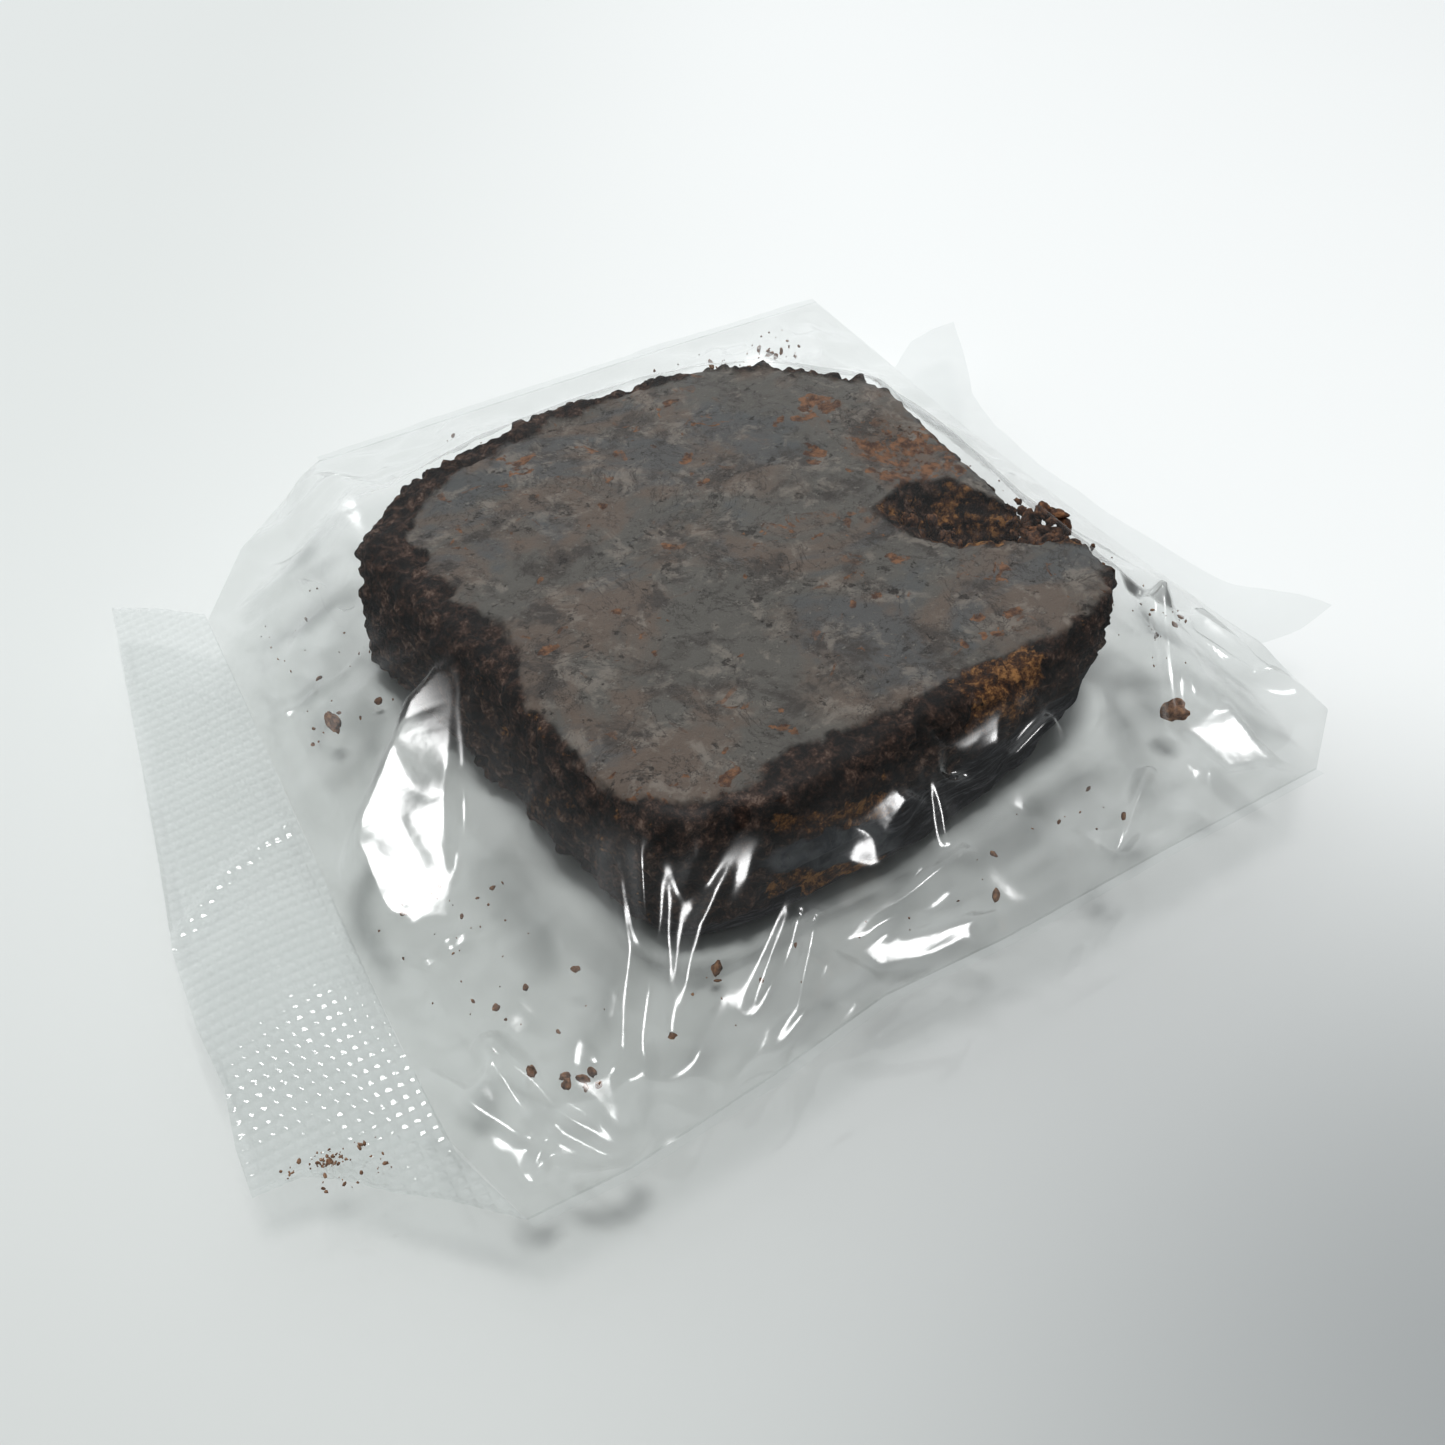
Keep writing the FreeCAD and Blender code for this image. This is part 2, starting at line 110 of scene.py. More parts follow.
def resample(line, count):
    """Open line cut into evenly spaced points."""
    line = np.asarray(line, float)
    steps = np.linalg.norm(np.diff(line, axis=0), axis=1)
    at = np.concatenate([[0], np.cumsum(steps)])
    want = np.linspace(0, at[-1], count)
    return np.column_stack([np.interp(want, at, line[:, k]) for k in range(line.shape[1])])


def mesh_object(name, vertices, faces, smooth=True):
    mesh = bpy.data.meshes.new(name)
    mesh.from_pydata([tuple(v) for v in vertices], [], faces)
    mesh.update()
    if smooth:
        mesh.polygons.foreach_set("use_smooth", [True] * len(mesh.polygons))
    piece = bpy.data.objects.new(name, mesh)
    bpy.context.scene.collection.objects.link(piece)
    return piece


def grid_faces(rows, columns):
    """Quads of a grid whose points are stored row by row."""
    return [(i * columns + j, i * columns + j + 1, (i + 1) * columns + j + 1, (i + 1) * columns + j)
            for i in range(rows - 1) for j in range(columns - 1)]


def coordinates(piece):
    co = np.empty(len(piece.data.vertices) * 3)
    piece.data.vertices.foreach_get("co", co)
    return co.reshape(-1, 3)


def set_coordinates(piece, co):
    piece.data.vertices.foreach_set("co", np.asarray(co, float).ravel())
    piece.data.update()


def normals(piece):
    no = np.empty(len(piece.data.vertices) * 3)
    piece.data.vertices.foreach_get("normal", no)
    return no.reshape(-1, 3)


def apply_modifiers(piece):
    graph = bpy.context.evaluated_depsgraph_get()
    mesh = bpy.data.meshes.new_from_object(piece.evaluated_get(graph))
    old = piece.data
    piece.modifiers.clear()
    piece.data = mesh
    bpy.data.meshes.remove(old)


def paint(piece, name, values):
    layer = piece.data.attributes.new(name, "FLOAT", "POINT")
    layer.data.foreach_set("value", np.asarray(values, np.float32))


# ---------------------------------------------------------------- materials

class Nodes:
    """Short calls for building a material's node tree."""

    def __init__(self, name):
        self.material = bpy.data.materials.new(name)
        self.material.use_nodes = True
        self.tree = self.material.node_tree
        self.tree.nodes.clear()

    def add(self, kind, **inputs):
        node = self.tree.nodes.new("ShaderNode" + kind)
        self.fill(node, inputs)
        return node

    def fill(self, node, inputs):
        for key, item in inputs.items():
            key = key.replace("_", " ")
            if isinstance(item, bpy.types.NodeSocket):
                self.tree.links.new(item, node.inputs[key])
            else:
                node.inputs[key].default_value = item

    def place(self):
        return self.add("NewGeometry").outputs["Position"]

    def attribute(self, name):
        node = self.add("Attribute")
        node.attribute_name = name
        return node.outputs["Fac"]

    def noise(self, scale, detail=4.0, roughness=0.55, distortion=0.0, vector=None):
        node = self.add("TexNoise", Scale=scale, Detail=detail, Roughness=roughness, Distortion=distortion)
        self.tree.links.new(vector or self.place(), node.inputs["Vector"])
        return node.outputs["Fac"]

    def ramp(self, fac, stops):
        node = self.add("ValToRGB")
        self.tree.links.new(fac, node.inputs["Fac"])
        elements = node.color_ramp.elements
        while len(elements) < len(stops):
            elements.new(0.5)
        for element, (position, color) in zip(elements, stops):
            element.position = position
            element.color = (*color, 1.0) if len(color) == 3 else color
        return node.outputs["Color"]

    def step(self, fac, low, high):
        node = self.add("MapRange")
        node.interpolation_type = "SMOOTHSTEP"
        self.fill(node, {"Value": fac, "From Min": low, "From Max": high})
        return node.outputs["Result"]

    def math(self, operation, a, b=None):
        node = self.tree.nodes.new("ShaderNodeMath")
        node.operation = operation
        for socket, item in zip(node.inputs, (a, b)):
            if item is None:
                continue
            if isinstance(item, bpy.types.NodeSocket):
                self.tree.links.new(item, socket)
            else:
                socket.default_value = item
        return node.outputs[0]

    def mix(self, fac, a, b):
        node = self.tree.nodes.new("ShaderNodeMix")
        node.data_type = "RGBA"
        for key, item in ((0, fac), (6, a), (7, b)):
            socket = node.inputs[key]
            if isinstance(item, bpy.types.NodeSocket):
                self.tree.links.new(item, socket)
            else:
                socket.default_value = item if key == 0 else (*item, 1.0)
        return node.outputs[2]

    def bump(self, height, strength, distance):
        node = self.add("Bump", Strength=strength, Distance=distance, Height=height)
        return node.outputs["Normal"]

    def scaled(self, scale):
        node = self.add("Mapping", Vector=self.place())
        node.inputs["Scale"].default_value = scale
        return node.outputs["Vector"]

    def blend_shaders(self, fac, a, b):
        node = self.tree.nodes.new("ShaderNodeMixShader")
        self.tree.links.new(fac, node.inputs[0])
        self.tree.links.new(a, node.inputs[1])
        self.tree.links.new(b, node.inputs[2])
        return node.outputs[0]

    def finish(self, shader):
        out = self.tree.nodes.new("ShaderNodeOutputMaterial")
        self.tree.links.new(shader, out.inputs["Surface"])
        return self.material


def pressed_face_color(n):
    """Clouded colour of the pressed face, with its pits and rust-coloured flecks."""
    fleck = n.attribute("fleck")
    # pressed face: soft brown, grey and blue-grey clouds with darker blotches and pale specks
    clouds = n.step(n.noise(75, 6, 0.62, 0.6), 0.44, 0.56)
    marble = n.mix(clouds, (0.138, 0.130, 0.115), (0.168, 0.128, 0.101))
    cool = n.step(n.noise(62, 6, 0.64, 0.8, n.scaled((0.8, 1.2, 1.0))), 0.50, 0.60)
    marble = n.mix(n.math("MULTIPLY", cool, 0.80), marble, (0.104, 0.113, 0.117))
    dark = n.step(n.noise(210, 7, 0.70, 0.4), 0.50, 0.64)
    marble = n.mix(n.math("MULTIPLY", dark, 0.92), marble, (0.062, 0.052, 0.046))
    light = n.step(n.noise(280, 7, 0.72, 0.4), 0.52, 0.64)
    marble = n.mix(n.math("MULTIPLY", light, 0.62), marble, (0.315, 0.278, 0.238))
    vein = n.math("ABSOLUTE", n.math("SUBTRACT", n.noise(130, 7, 0.70, 0.5), 0.5))
    marble = n.mix(n.math("MULTIPLY", n.step(vein, 0.014, 0.0), 0.75), marble, (0.040, 0.032, 0.028))
    pale = n.step(n.noise(1500, 4, 0.7), 0.58, 0.68)
    marble = n.mix(n.math("MULTIPLY", pale, 0.50), marble, (0.340, 0.315, 0.280))
    pits = n.step(n.noise(520, 5, 0.70), 0.60, 0.66)
    marble = n.mix(n.math("MULTIPLY", pits, 0.80), marble, (0.024, 0.018, 0.015))
    small = n.math("MULTIPLY", n.step(n.noise(340, 4, 0.6, 1.0), 0.61, 0.65),
                   n.step(n.noise(70, 2, 0.5), 0.42, 0.58))
    ragged = n.math("ADD", fleck, n.math("MULTIPLY", n.math("SUBTRACT", n.noise(750, 4, 0.7), 0.5), 3.0))
    large = n.math("MULTIPLY", n.step(ragged, 0.62, 0.85), n.step(fleck, 0.0, 0.2))
    flecks = n.math("MAXIMUM", small, large)
    ochre = n.ramp(n.noise(900, 4, 0.7), [(0.42, (0.080, 0.034, 0.018)), (0.60, (0.290, 0.135, 0.062))])
    marble = n.mix(flecks, marble, ochre)
    return marble, pale, pits


def wall_color(n, grain):
    """Colour of the crumbly walls, the fibre layers, the rust and the smooth grey-blue patch."""
    rust_patch, streak, lens = n.attribute("rust"), n.attribute("streak"), n.attribute("lens")
    # walls: coarse dark grains, blue-black fibre layers low at the front, rust patches
    wall = n.ramp(grain, [(0.42, (0.002, 0.001, 0.001)), (0.50, (0.018, 0.009, 0.006)),
                          (0.57, (0.070, 0.036, 0.024)), (0.66, (0.230, 0.155, 0.118))])
    layers = n.noise(320, 6, 0.8, 0.3, n.scaled((0.6, 0.6, 6.0)))
    fibres = n.ramp(layers, [(0.42, (0.002, 0.002, 0.004)), (0.52, (0.018, 0.018, 0.024)),
                             (0.62, (0.100, 0.100, 0.108))])
    wall = n.mix(streak, wall, fibres)
    rusty = n.ramp(n.noise(800, 6, 0.8), [(0.40, (0.014, 0.006, 0.004)), (0.50, (0.100, 0.040, 0.014)),
                                          (0.60, (0.420, 0.200, 0.065))])
    patch = n.step(n.math("ADD", rust_patch, n.math("MULTIPLY", n.noise(300, 6, 0.75), 0.9)), 0.80, 0.88)
    wall = n.mix(patch, wall, rusty)
    smooth = n.noise(300, 4, 0.6, 0.8)
    blue_grey = n.ramp(smooth, [(0.40, (0.050, 0.056, 0.066)), (0.60, (0.130, 0.138, 0.148))])
    wall = n.mix(lens, wall, blue_grey)
    return wall


def block_material():
    n = Nodes("pressed_fibre")
    waxy = n.attribute("waxy")
    grain = n.noise(640, 8, 0.80)
    marble, pale, pits = pressed_face_color(n)
    wall = wall_color(n, grain)
    color = n.mix(waxy, wall, marble)
    rough = n.math("SUBTRACT", 0.88, n.math("MULTIPLY", waxy, 0.40))
    height = n.math("ADD", grain, n.math("MULTIPLY", n.math("SUBTRACT", pale, pits), 0.25))
    shader = n.add("BsdfPrincipled", Base_Color=color, Roughness=rough, Normal=n.bump(height, 0.9, 0.0007))
    shader.inputs["Specular IOR Level"].default_value = 0.2
    return n.finish(shader.outputs[0])


def crumb_material(name, dark, mid, light):
    n = Nodes(name)
    grain = n.noise(1500, 5, 0.7)
    color = n.ramp(grain, [(0.36, dark), (0.52, mid), (0.68, light)])
    shader = n.add("BsdfPrincipled", Base_Color=color, Roughness=0.85, Normal=n.bump(grain, 0.6, 0.0003))
    return n.finish(shader.outputs[0])


def film_shader(n, tint, gloss, haze, roughness):
    """See-through film: glossy skin by Fresnel over a clear layer with a little milky haze."""
    shine = n.math("MINIMUM", n.math("MULTIPLY", n.add("Fresnel", IOR=1.5).outputs[0], gloss), 1.0)
    clear = n.add("BsdfTransparent", Color=tint)
    milk = n.add("BsdfDiffuse", Color=(0.80, 0.83, 0.83, 1.0))
    body = n.blend_shaders(haze, clear.outputs[0], milk.outputs[0])
    ripple = n.bump(n.noise(240, 3, 0.5), 0.12, 0.0006)
    skin = n.add("BsdfGlossy", Color=(1, 1, 1, 1), Roughness=roughness, Normal=ripple)
    return n.finish(n.blend_shaders(shine, body, skin.outputs[0]))


def film_material(name, tint, gloss, haze, roughness):
    n = Nodes(name)
    scuff = n.step(n.noise(160, 5, 0.65), 0.35, 0.75)
    amount = n.math("MULTIPLY", n.math("ADD", scuff, 0.5), haze)
    # where the film clings to the block it loses most of its own shine
    clinging = n.attribute("clinging")
    rough = n.math("ADD", n.math("MULTIPLY", clinging, 0.30), roughness)
    shine = n.math("MULTIPLY", n.math("SUBTRACT", 1.0, n.math("MULTIPLY", clinging, 0.80)), gloss)
    return film_shader(n, n.mix(clinging, tint, (0.985, 0.985, 0.985)), shine, amount, rough)


def crimped_material():
    """Two films pressed together, with a little random milkiness, and painted sheen: extra milky haze on the
    bosses stands in for their refraction and Fresnel sheen.
    """
    n = Nodes("crimped_film")
    # random milkiness, plus painted sheen: more haze on the bosses than in the grooves
    milk_and_boss_sheen = n.math("ADD", n.math("MULTIPLY", n.attribute("cell"), 0.07),
                   n.math("MULTIPLY", n.step(n.noise(90, 4, 0.6), 0.35, 0.7), 0.05))
    return film_shader(n, (0.865, 0.882, 0.876, 1.0), 1.4, milk_and_boss_sheen, 0.12)


# ---------------------------------------------------------------- block

BLOCK_OUTLINE = [
    (-22, -26), (-16, -29), (-6, -29.5), (4, -29), (14, -28.5), (23, -27), (30, -24), (32.5, -18),
    (32, -9), (33, 0), (33, 10), (32, 19), (27, 25), (19, 30.5), (8, 32.5), (-3, 32.5),
    (-14, 31), (-23, 27.5), (-29, 20.5), (-28, 9), (-26, -4), (-24.5, -16)]
BLOCK_MIDDLE = np.array([2.9, 1.6])
BLOCK_BASE, BLOCK_TOP = 0.45, 15.9
BLOCK_VOXEL = 0.30
UNDERCUT_SHIFT = np.array([-2.6, 1.6])
LOBE_DROP = 1.6

# the film-pressed face is ragged and a little smaller than the block
PRESSED_FACE = [
    (-22, 21), (-24, 12), (-22, 3), (-24, -9), (-23, -20), (-18, -25), (-3, -25), (20, -25), (30, -22),
    (34, -6), (33, 12), (23, 26), (8, 30), (-12, 27)]

CRACK_RIM = [
    (17.5, -1), (24, 1.5), (28, 0), (31.5, -8), (38, -12), (38, -17.5), (32, -17), (21, -10.5), (17.5, -6)]
CRACK_HEART = np.array([26.2, -6.4])
CRACK_LEVELS = [(18.5, 1.0), (15.9, 0.98), (14.0, 0.80), (12.0, 0.60), (10.0, 0.40)]

# where rust-coloured flecks are strewn on the pressed face: x and y ranges
RUST_EVERYWHERE = [(-21, 18, -23, 17, 0, 0)]
RUST_CLUSTERS = [(19, 29, 2, 9, 0, 0), (17, 24, 15, 18, 0, 0)]


def distance_to_line(points, line):
    """Distance from each point to a polyline, and how far along it the nearest place is."""
    best = np.full(len(points), 1e9)
    along = np.zeros(len(points))
    line = np.asarray(line, float)
    for k in range(len(line) - 1):
        a, b = line[k], line[k + 1]
        d = b - a
        t = np.clip(((points - a) @ d) / (d @ d), 0, 1)
        dist = np.linalg.norm(points - (a + t[:, None] * d), axis=1)
        closer = dist < best
        best[closer] = dist[closer]
        along[closer] = (k + t)[closer]
    return best, along


def inside(points, polygon):
    """How far inside a closed polygon each point is, negative outside."""
    polygon = np.asarray(polygon, float)
    nearest, _ = distance_to_line(points, np.vstack([polygon, polygon[:1]]))
    within = np.zeros(len(points), bool)
    x, y = points[:, 0], points[:, 1]
    for (x1, y1), (x2, y2) in zip(polygon, np.roll(polygon, -1, axis=0)):
        crosses = (y1 > y) != (y2 > y)
        slope = (x2 - x1) / (y2 - y1) if y2 != y1 else 0.0
        within ^= crosses & (x < slope * (y - y1) + x1)
    return np.where(within, nearest, -nearest)


def lofted(name, rings):
    """Closed solid through rings that have the same number of points."""
    count = len(rings[0])
    faces = []
    for i in range(len(rings) - 1):
        below, above = i * count, (i + 1) * count
        for j in range(count):
            beside = (j + 1) % count
            faces.append((below + j, below + beside, above + beside, above + j))
    faces.append(tuple(range(count))[::-1])
    faces.append(tuple((len(rings) - 1) * count + j for j in range(count)))
    return mesh_object(name, np.vstack(rings), faces, smooth=False)


def ring(outline, middle, scale, z):
    flat = middle + (outline - middle) * scale
    return np.column_stack([flat, np.full(len(flat), z)])


def build_block():
    """Closed block: loft of the outline with the crack cut out, remeshed evenly and roughened."""
    outline = closed_curve(BLOCK_OUTLINE, 180)
    profile = [(0.0, 0.90), (0.3, 0.965), (2.5, 0.995), (7.0, 1.0), (12.0, 0.99), (14.2, 0.975),
               (15.1, 0.955), (BLOCK_TOP - BLOCK_BASE, 0.92)]
    rings = [ring(outline, BLOCK_MIDDLE, scale, BLOCK_BASE + z) * MM for z, scale in profile]
    block = lofted("block_body", rings)
    cut = crack_cutter()
    boolean = block.modifiers.new("crack", "BOOLEAN")
    boolean.object = cut
    boolean.operation = "DIFFERENCE"
    boolean.solver = "EXACT"
    remesh = block.modifiers.new("even", "REMESH")
    remesh.mode = "VOXEL"
    remesh.voxel_size = BLOCK_VOXEL * MM
    remesh.use_smooth_shade = True
    apply_modifiers(block)
    bpy.data.objects.remove(cut)
    roughen(block)
    return block


def crack_cutter():
    """Ragged wedge that narrows downwards and is open at the right-hand wall."""
    rim = resample(np.vstack([CRACK_RIM, CRACK_RIM[:1]]), 97)[:-1]
    rings = []
    for level, (z, scale) in enumerate(CRACK_LEVELS):
        level_ring = ring(rim, CRACK_HEART, scale, z)
        ragged = np.column_stack([noise(rim, 1.6, 50 + level), noise(rim, 1.6, 60 + level),
                                  0.6 * noise(rim, 2.2, 70 + level)])
        rings.append((level_ring + 0.5 * scale * ragged) * MM)
    cutter = lofted("crack_cutter", rings[::-1])
    bm = bmesh.new()
    bm.from_mesh(cutter.data)
    bmesh.ops.recalc_face_normals(bm, faces=bm.faces)
    bm.to_mesh(cutter.data)
    bm.free()
    return cutter


def spots(points, places, blur=0.5):
    """Soft round patches, each given as x, y, height and diameter."""
    total = np.zeros(len(points))
    for x, y, _, size in places:
        radius = size / 2
        near = np.hypot(points[:, 0] - x, points[:, 1] - y)
        total = np.maximum(total, smoothstep(radius + blur, radius - blur, near))
    return total


def surface_masks(p, no, ragged):
    """Shares, from 0 to 1, of pressed face, of front wall and of fibre layers at each point."""
    face = smoothstep(-0.2, 0.5, inside(p[:, :2], closed_curve(PRESSED_FACE, 90)) + 0.9 * ragged)
    waxy = smoothstep(0.35, 0.7, no[:, 2]) * smoothstep(13.0, 14.4, p[:, 2]) * face
    waxy *= smoothstep(-0.2, 0.5, -inside(p[:, :2], CRACK_RIM) + 0.5 * ragged)
    front = smoothstep(-10, -18, p[:, 1] - 0.35 * p[:, 0] + 2)
    band_top = smoothstep(10.5, 8.0, p[:, 2] + 1.2 * fractal(p, 5.0, 3))
    streak = front * band_top * smoothstep(-16, -10, p[:, 0])
    streak = np.maximum(streak, smoothstep(5.0, 3.0, p[:, 2] + fractal(p, 5.0, 13)) * front)
    return waxy, front, streak


def relief(p, waxy, streak):
    """How far each point stands out: lumps, grains and fibre layers on the walls, soft waves on top."""
    above = smoothstep(0.8, 2.2, p[:, 2])
    lumps = 0.65 * fractal(p, 6.0, 1, 2)
    granules = 0.75 * np.abs(fractal(p, 1.9, 2, 3)) - 0.28 + 0.24 * noise(p, 0.8, 8)
    fibres = 0.40 * fractal(p * np.array([0.30, 0.30, 1.7]), 1.3, 4, 2)
    push = (1 - waxy) * above * (lumps + (1 - streak) * granules + streak * fibres)
    return push + waxy * (0.26 * fractal(p, 7.0, 5, 2) + 0.09 * fractal(p, 1.6, 6, 2))


def slumped(moved, p):
    """Undercut front right wall, and a sunken lobe behind the crack."""
    x, y, z = p.T
    undercut = smoothstep(8.0, 30.0, x) * smoothstep(13.0, 1.0, z) * smoothstep(4.0, -16.0, y)
    moved[:, :2] += undercut[:, None] * UNDERCUT_SHIFT
    lobe = smoothstep(20.0, 27.0, x) * smoothstep(15.0, 3.0, y) * smoothstep(-11.0, -3.0, y)
    moved[:, 2] -= smoothstep(9.0, 15.0, z) * lobe * LOBE_DROP
    moved[:, 2] = np.clip(moved[:, 2], BLOCK_BASE - 0.1, BLOCK_TOP + 0.1)
    return moved


def rust_map(p, front, wall, ragged):
    """How rusty each point of the walls is, and the smooth grey-blue patch on the front wall."""
    from_crack = -inside(p[:, :2], CRACK_RIM)
    upper = smoothstep(6.0, 10.0, p[:, 2])
    right = smoothstep(-16, -8, p[:, 0])
    # the patch leans down to the right, with ochre crumbs under it and a rust line over it
    sideways = (p[:, 0] + 6.5) / 7.0
    upwards = (p[:, 2] - 7.5 + 2.4 * sideways + 0.5 * ragged) / 2.7
    lens = smoothstep(1.15, 0.85, np.hypot(sideways, upwards)) * front
    edging = smoothstep(1.35, 0.7, np.abs(sideways)) * front * (1 - lens)
    rust = 0.16 * wall + 0.08 * front * right * upper * wall
    rust += 0.30 * edging * smoothstep(0.9, 0.3, np.abs(upwards + 1.3))
    rust += 0.24 * edging * smoothstep(0.7, 0.2, np.abs(upwards - 1.5))
    # rust at the front wall's upper right, round the crack and on the left wall
    rust += 0.20 * front * smoothstep(7.0, 3.0, np.hypot(p[:, 0] - 13.0, 1.5 * (p[:, 2] - 14.0)))
    rust += 0.20 * smoothstep(1.6, -0.6, from_crack) * smoothstep(8, 11, p[:, 2])
    rust += 0.13 * smoothstep(-15, -22, p[:, 0]) * smoothstep(6, -6, p[:, 1])
    return rust, lens


def fleck_map(p, ragged):
    """Where the pressed face shows rust: strewn flecks, and a crumbly stretch behind the crack."""
    places = scattered(RUST_EVERYWHERE, 26, 0.9, 2.8, 15) + scattered(RUST_CLUSTERS, 14, 1.6, 3.2, 16)
    strayed = p[:, :2] + 0.8 * np.column_stack([ragged, -ragged])
    crumbly = smoothstep(18, 24, p[:, 0]) * smoothstep(14, 7, p[:, 1]) * smoothstep(-2, 1, p[:, 1])
    return np.maximum(spots(strayed, places), 0.75 * crumbly)


def roughen(block):
    """Give the block its relief, and mark where each kind of surface lies."""
    p, no = coordinates(block) / MM, normals(block)
    ragged = fractal(p, 2.6, 31, 4)
    waxy, front, streak = surface_masks(p, no, ragged)
    wall = 1 - waxy
    moved = slumped(p + no * relief(p, waxy, streak)[:, None], p)
    set_coordinates(block, moved * MM)
    rust, lens = rust_map(p, front, wall, ragged)
    paint(block, "waxy", waxy)
    paint(block, "rust", rust)
    paint(block, "streak", streak * wall)
    paint(block, "fleck", fleck_map(p, ragged))
    paint(block, "lens", lens)


# ---------------------------------------------------------------- crumbs

def lump(size, stretch, seed, detail=2):
    """Vertices and faces of one irregular grain."""
    bm = bmesh.new()
    bmesh.ops.create_icosphere(bm, subdivisions=detail, radius=1.0)
    points = np.array([v.co[:] for v in bm.verts])
    faces = [tuple(v.index for v in f.verts) for f in bm.faces]
    bm.free()
    rough = 1 + 0.42 * noise(points, 0.9, seed) + 0.22 * noise(points, 0.45, seed + 1)
    points = points * rough[:, None] * np.array(stretch) * size / 2
    angles = [3.0 * hashed(np.array([[seed, k, 5]]), 11)[0] for k in range(3)]
    turn = np.array(Euler(angles).to_matrix())
    return points @ turn.T, faces


def grains(name, places, material):
    """One mesh of separate irregular grains, each given as x, y, z and size."""
    vertices, faces = [], []
    for index, (x, y, z, size) in enumerate(places):
        stretch = (1.25, 0.85 + 0.25 * math.sin(index * 2.1), 0.62)
        points, cells = lump(size, stretch, 300 + index, 3 if size > 1.0 else 2)
        base = sum(len(v) for v in vertices)
        vertices.append(points + np.array([x, y, z]))
        faces += [tuple(base + i for i in cell) for cell in cells]
    piece = mesh_object(name, np.vstack(vertices) * MM, faces)
    piece.data.materials.append(material)
    return piece


def between_films(places, lower, upper):
    """Same crumbs, with the third value turned from a share into a height between the two films."""
    at = lower[:, :, :2].reshape(-1, 2)
    floor = lower[:, :, 2].ravel()
    ceiling = upper[::FILM_FINENESS, ::FILM_FINENESS, 2].ravel()
    out = []
    for x, y, share, size in places:
        nearest = np.argmin(np.hypot(at[:, 0] - x, at[:, 1] - y))
        room = max(ceiling[nearest] - floor[nearest] - 0.7 * size, 0.0)
        out.append((x, y, floor[nearest] + 0.35 * size + share * room, size))
    return out


def scattered(regions, count, low, high, seed):
    """Seeded places inside rectangles of x, y and height, with sizes that are mostly small."""
    random = np.random.default_rng(seed)
    out = []
    for _ in range(count):
        x0, x1, y0, y1, z0, z1 = regions[random.integers(len(regions))]
        size = low + (high - low) * random.random() ** 3
        out.append((random.uniform(x0, x1), random.uniform(y0, y1), random.uniform(z0, z1), size))
    return out


# ---------------------------------------------------------------- film

FRONT_EDGE = [
    (-43.9, -46.2, 9.2), (-36.0, -46.4, 8.6), (-24.0, -46.0, 9.4), (-13.0, -45.0, 9.9), (-1.5, -45.4, 9.2),
    (15.0, -45.6, 9.4), (34.3, -45.6, 8.6)]
RIGHT_EDGE = [
    (34.3, -45.6, 8.6), (42.0, -40.5, 7.8), (44.7, -30.0, 6.6), (44.4, -10.0, 6.2), (44.4, 15.0, 6.2),
    (44.6, 30.0, 6.8), (43.6, 46.0, 8.6)]
REAR_EDGE = [(-24.0, 46.0, 8.8), (0.0, 45.9, 9.0), (20.0, 46.0, 9.0), (43.6, 46.0, 8.6)]
LEFT_EDGE = [
    (-43.9, -46.2, 9.2), (-45.9, -36.0, 6.8), (-45.0, -14.0, 6.2), (-43.8, 8.0, 6.2), (-42.8, 29.0, 6.4),
    (-36.3, 37.0, 7.6), (-24.0, 46.0, 8.8)]
COLUMNS, ROWS = 170, 150
FILM_FINENESS = 2
WEB_GAP = 0.12
NO_CEILING = 99.0
FILM_LIFT = 0.30
EDGE_SPAN = 90.0    # the film grid counts as this many millimetres across

# long pinched fold from the block's left edge to the mouth seal, its near end folded under
TONGUE = [
    (-25.5, 1), (-28.5, 3), (-33, 1.5), (-41.5, -6), (-45, -11), (-43, -17), (-37, -21), (-31.5, -10),
    (-26, -1)]
TONGUE_TIP = (-26.0, 0.9, 15.3)

# tilt of the film's flat facets: it steepens to the right and to the rear, as in one shallow dish
DISH_MIDDLE = np.array([-38.0, -10.0])
DISH_SLOPE = np.array([0.06, 0.37])
DISH_CURVE = np.array([0.0026, 0.00225])

# folds pulled taut between the block's front corner and the front weld: crest and half width
TAUT_FOLDS = [
    ([(-25, -25), (-28, -32), (-32, -38)], 0.9), ([(-22, -28), (-25, -33), (-29, -40)], 1.1),
    ([(-16, -29), (-22, -33), (-28, -39)], 1.2), ([(-14, -37), (-19, -42), (-25, -45)], 1.0),
    ([(-15, -35), (-22, -40)], 0.9), ([(-40, -32), (-38, -39), (-35, -45)], 1.0),
    ([(-45, -32), (-41, -39), (-36, -45)], 1.0), ([(-42, -42), (-39, -40)], 0.8),
    ([(-12, -39), (0, -38)], 0.9), ([(2, -31), (0, -36)], 0.8), ([(35, -21), (38, -31), (42, -37)], 1.0),
    ([(35, -24), (30, -31), (27, -36)], 1.0), ([(20, -39), (13, -43)], 0.8),
    ([(4, -31), (9, -33), (14, -32)], 0.7)]
# slack folds elsewhere
SLACK_FOLDS = [
    ([(-45, -17), (-41, -21), (-36, -20)], 1.0), ([(-36, 35), (-33, 29), (-32, 14)], 1.0),
    ([(-42, 30), (-39, 20), (-42, 5)], 1.6), ([(-44, 12), (-30, 10)], 1.0), ([(-30, 37), (-8, 39)], 1.0),
    ([(37, 22), (40, 8), (39, -6)], 1.0), ([(36, -4), (39, -12), (41, -24)], 1.0)]
FOLD_STEEPNESS = 0.32

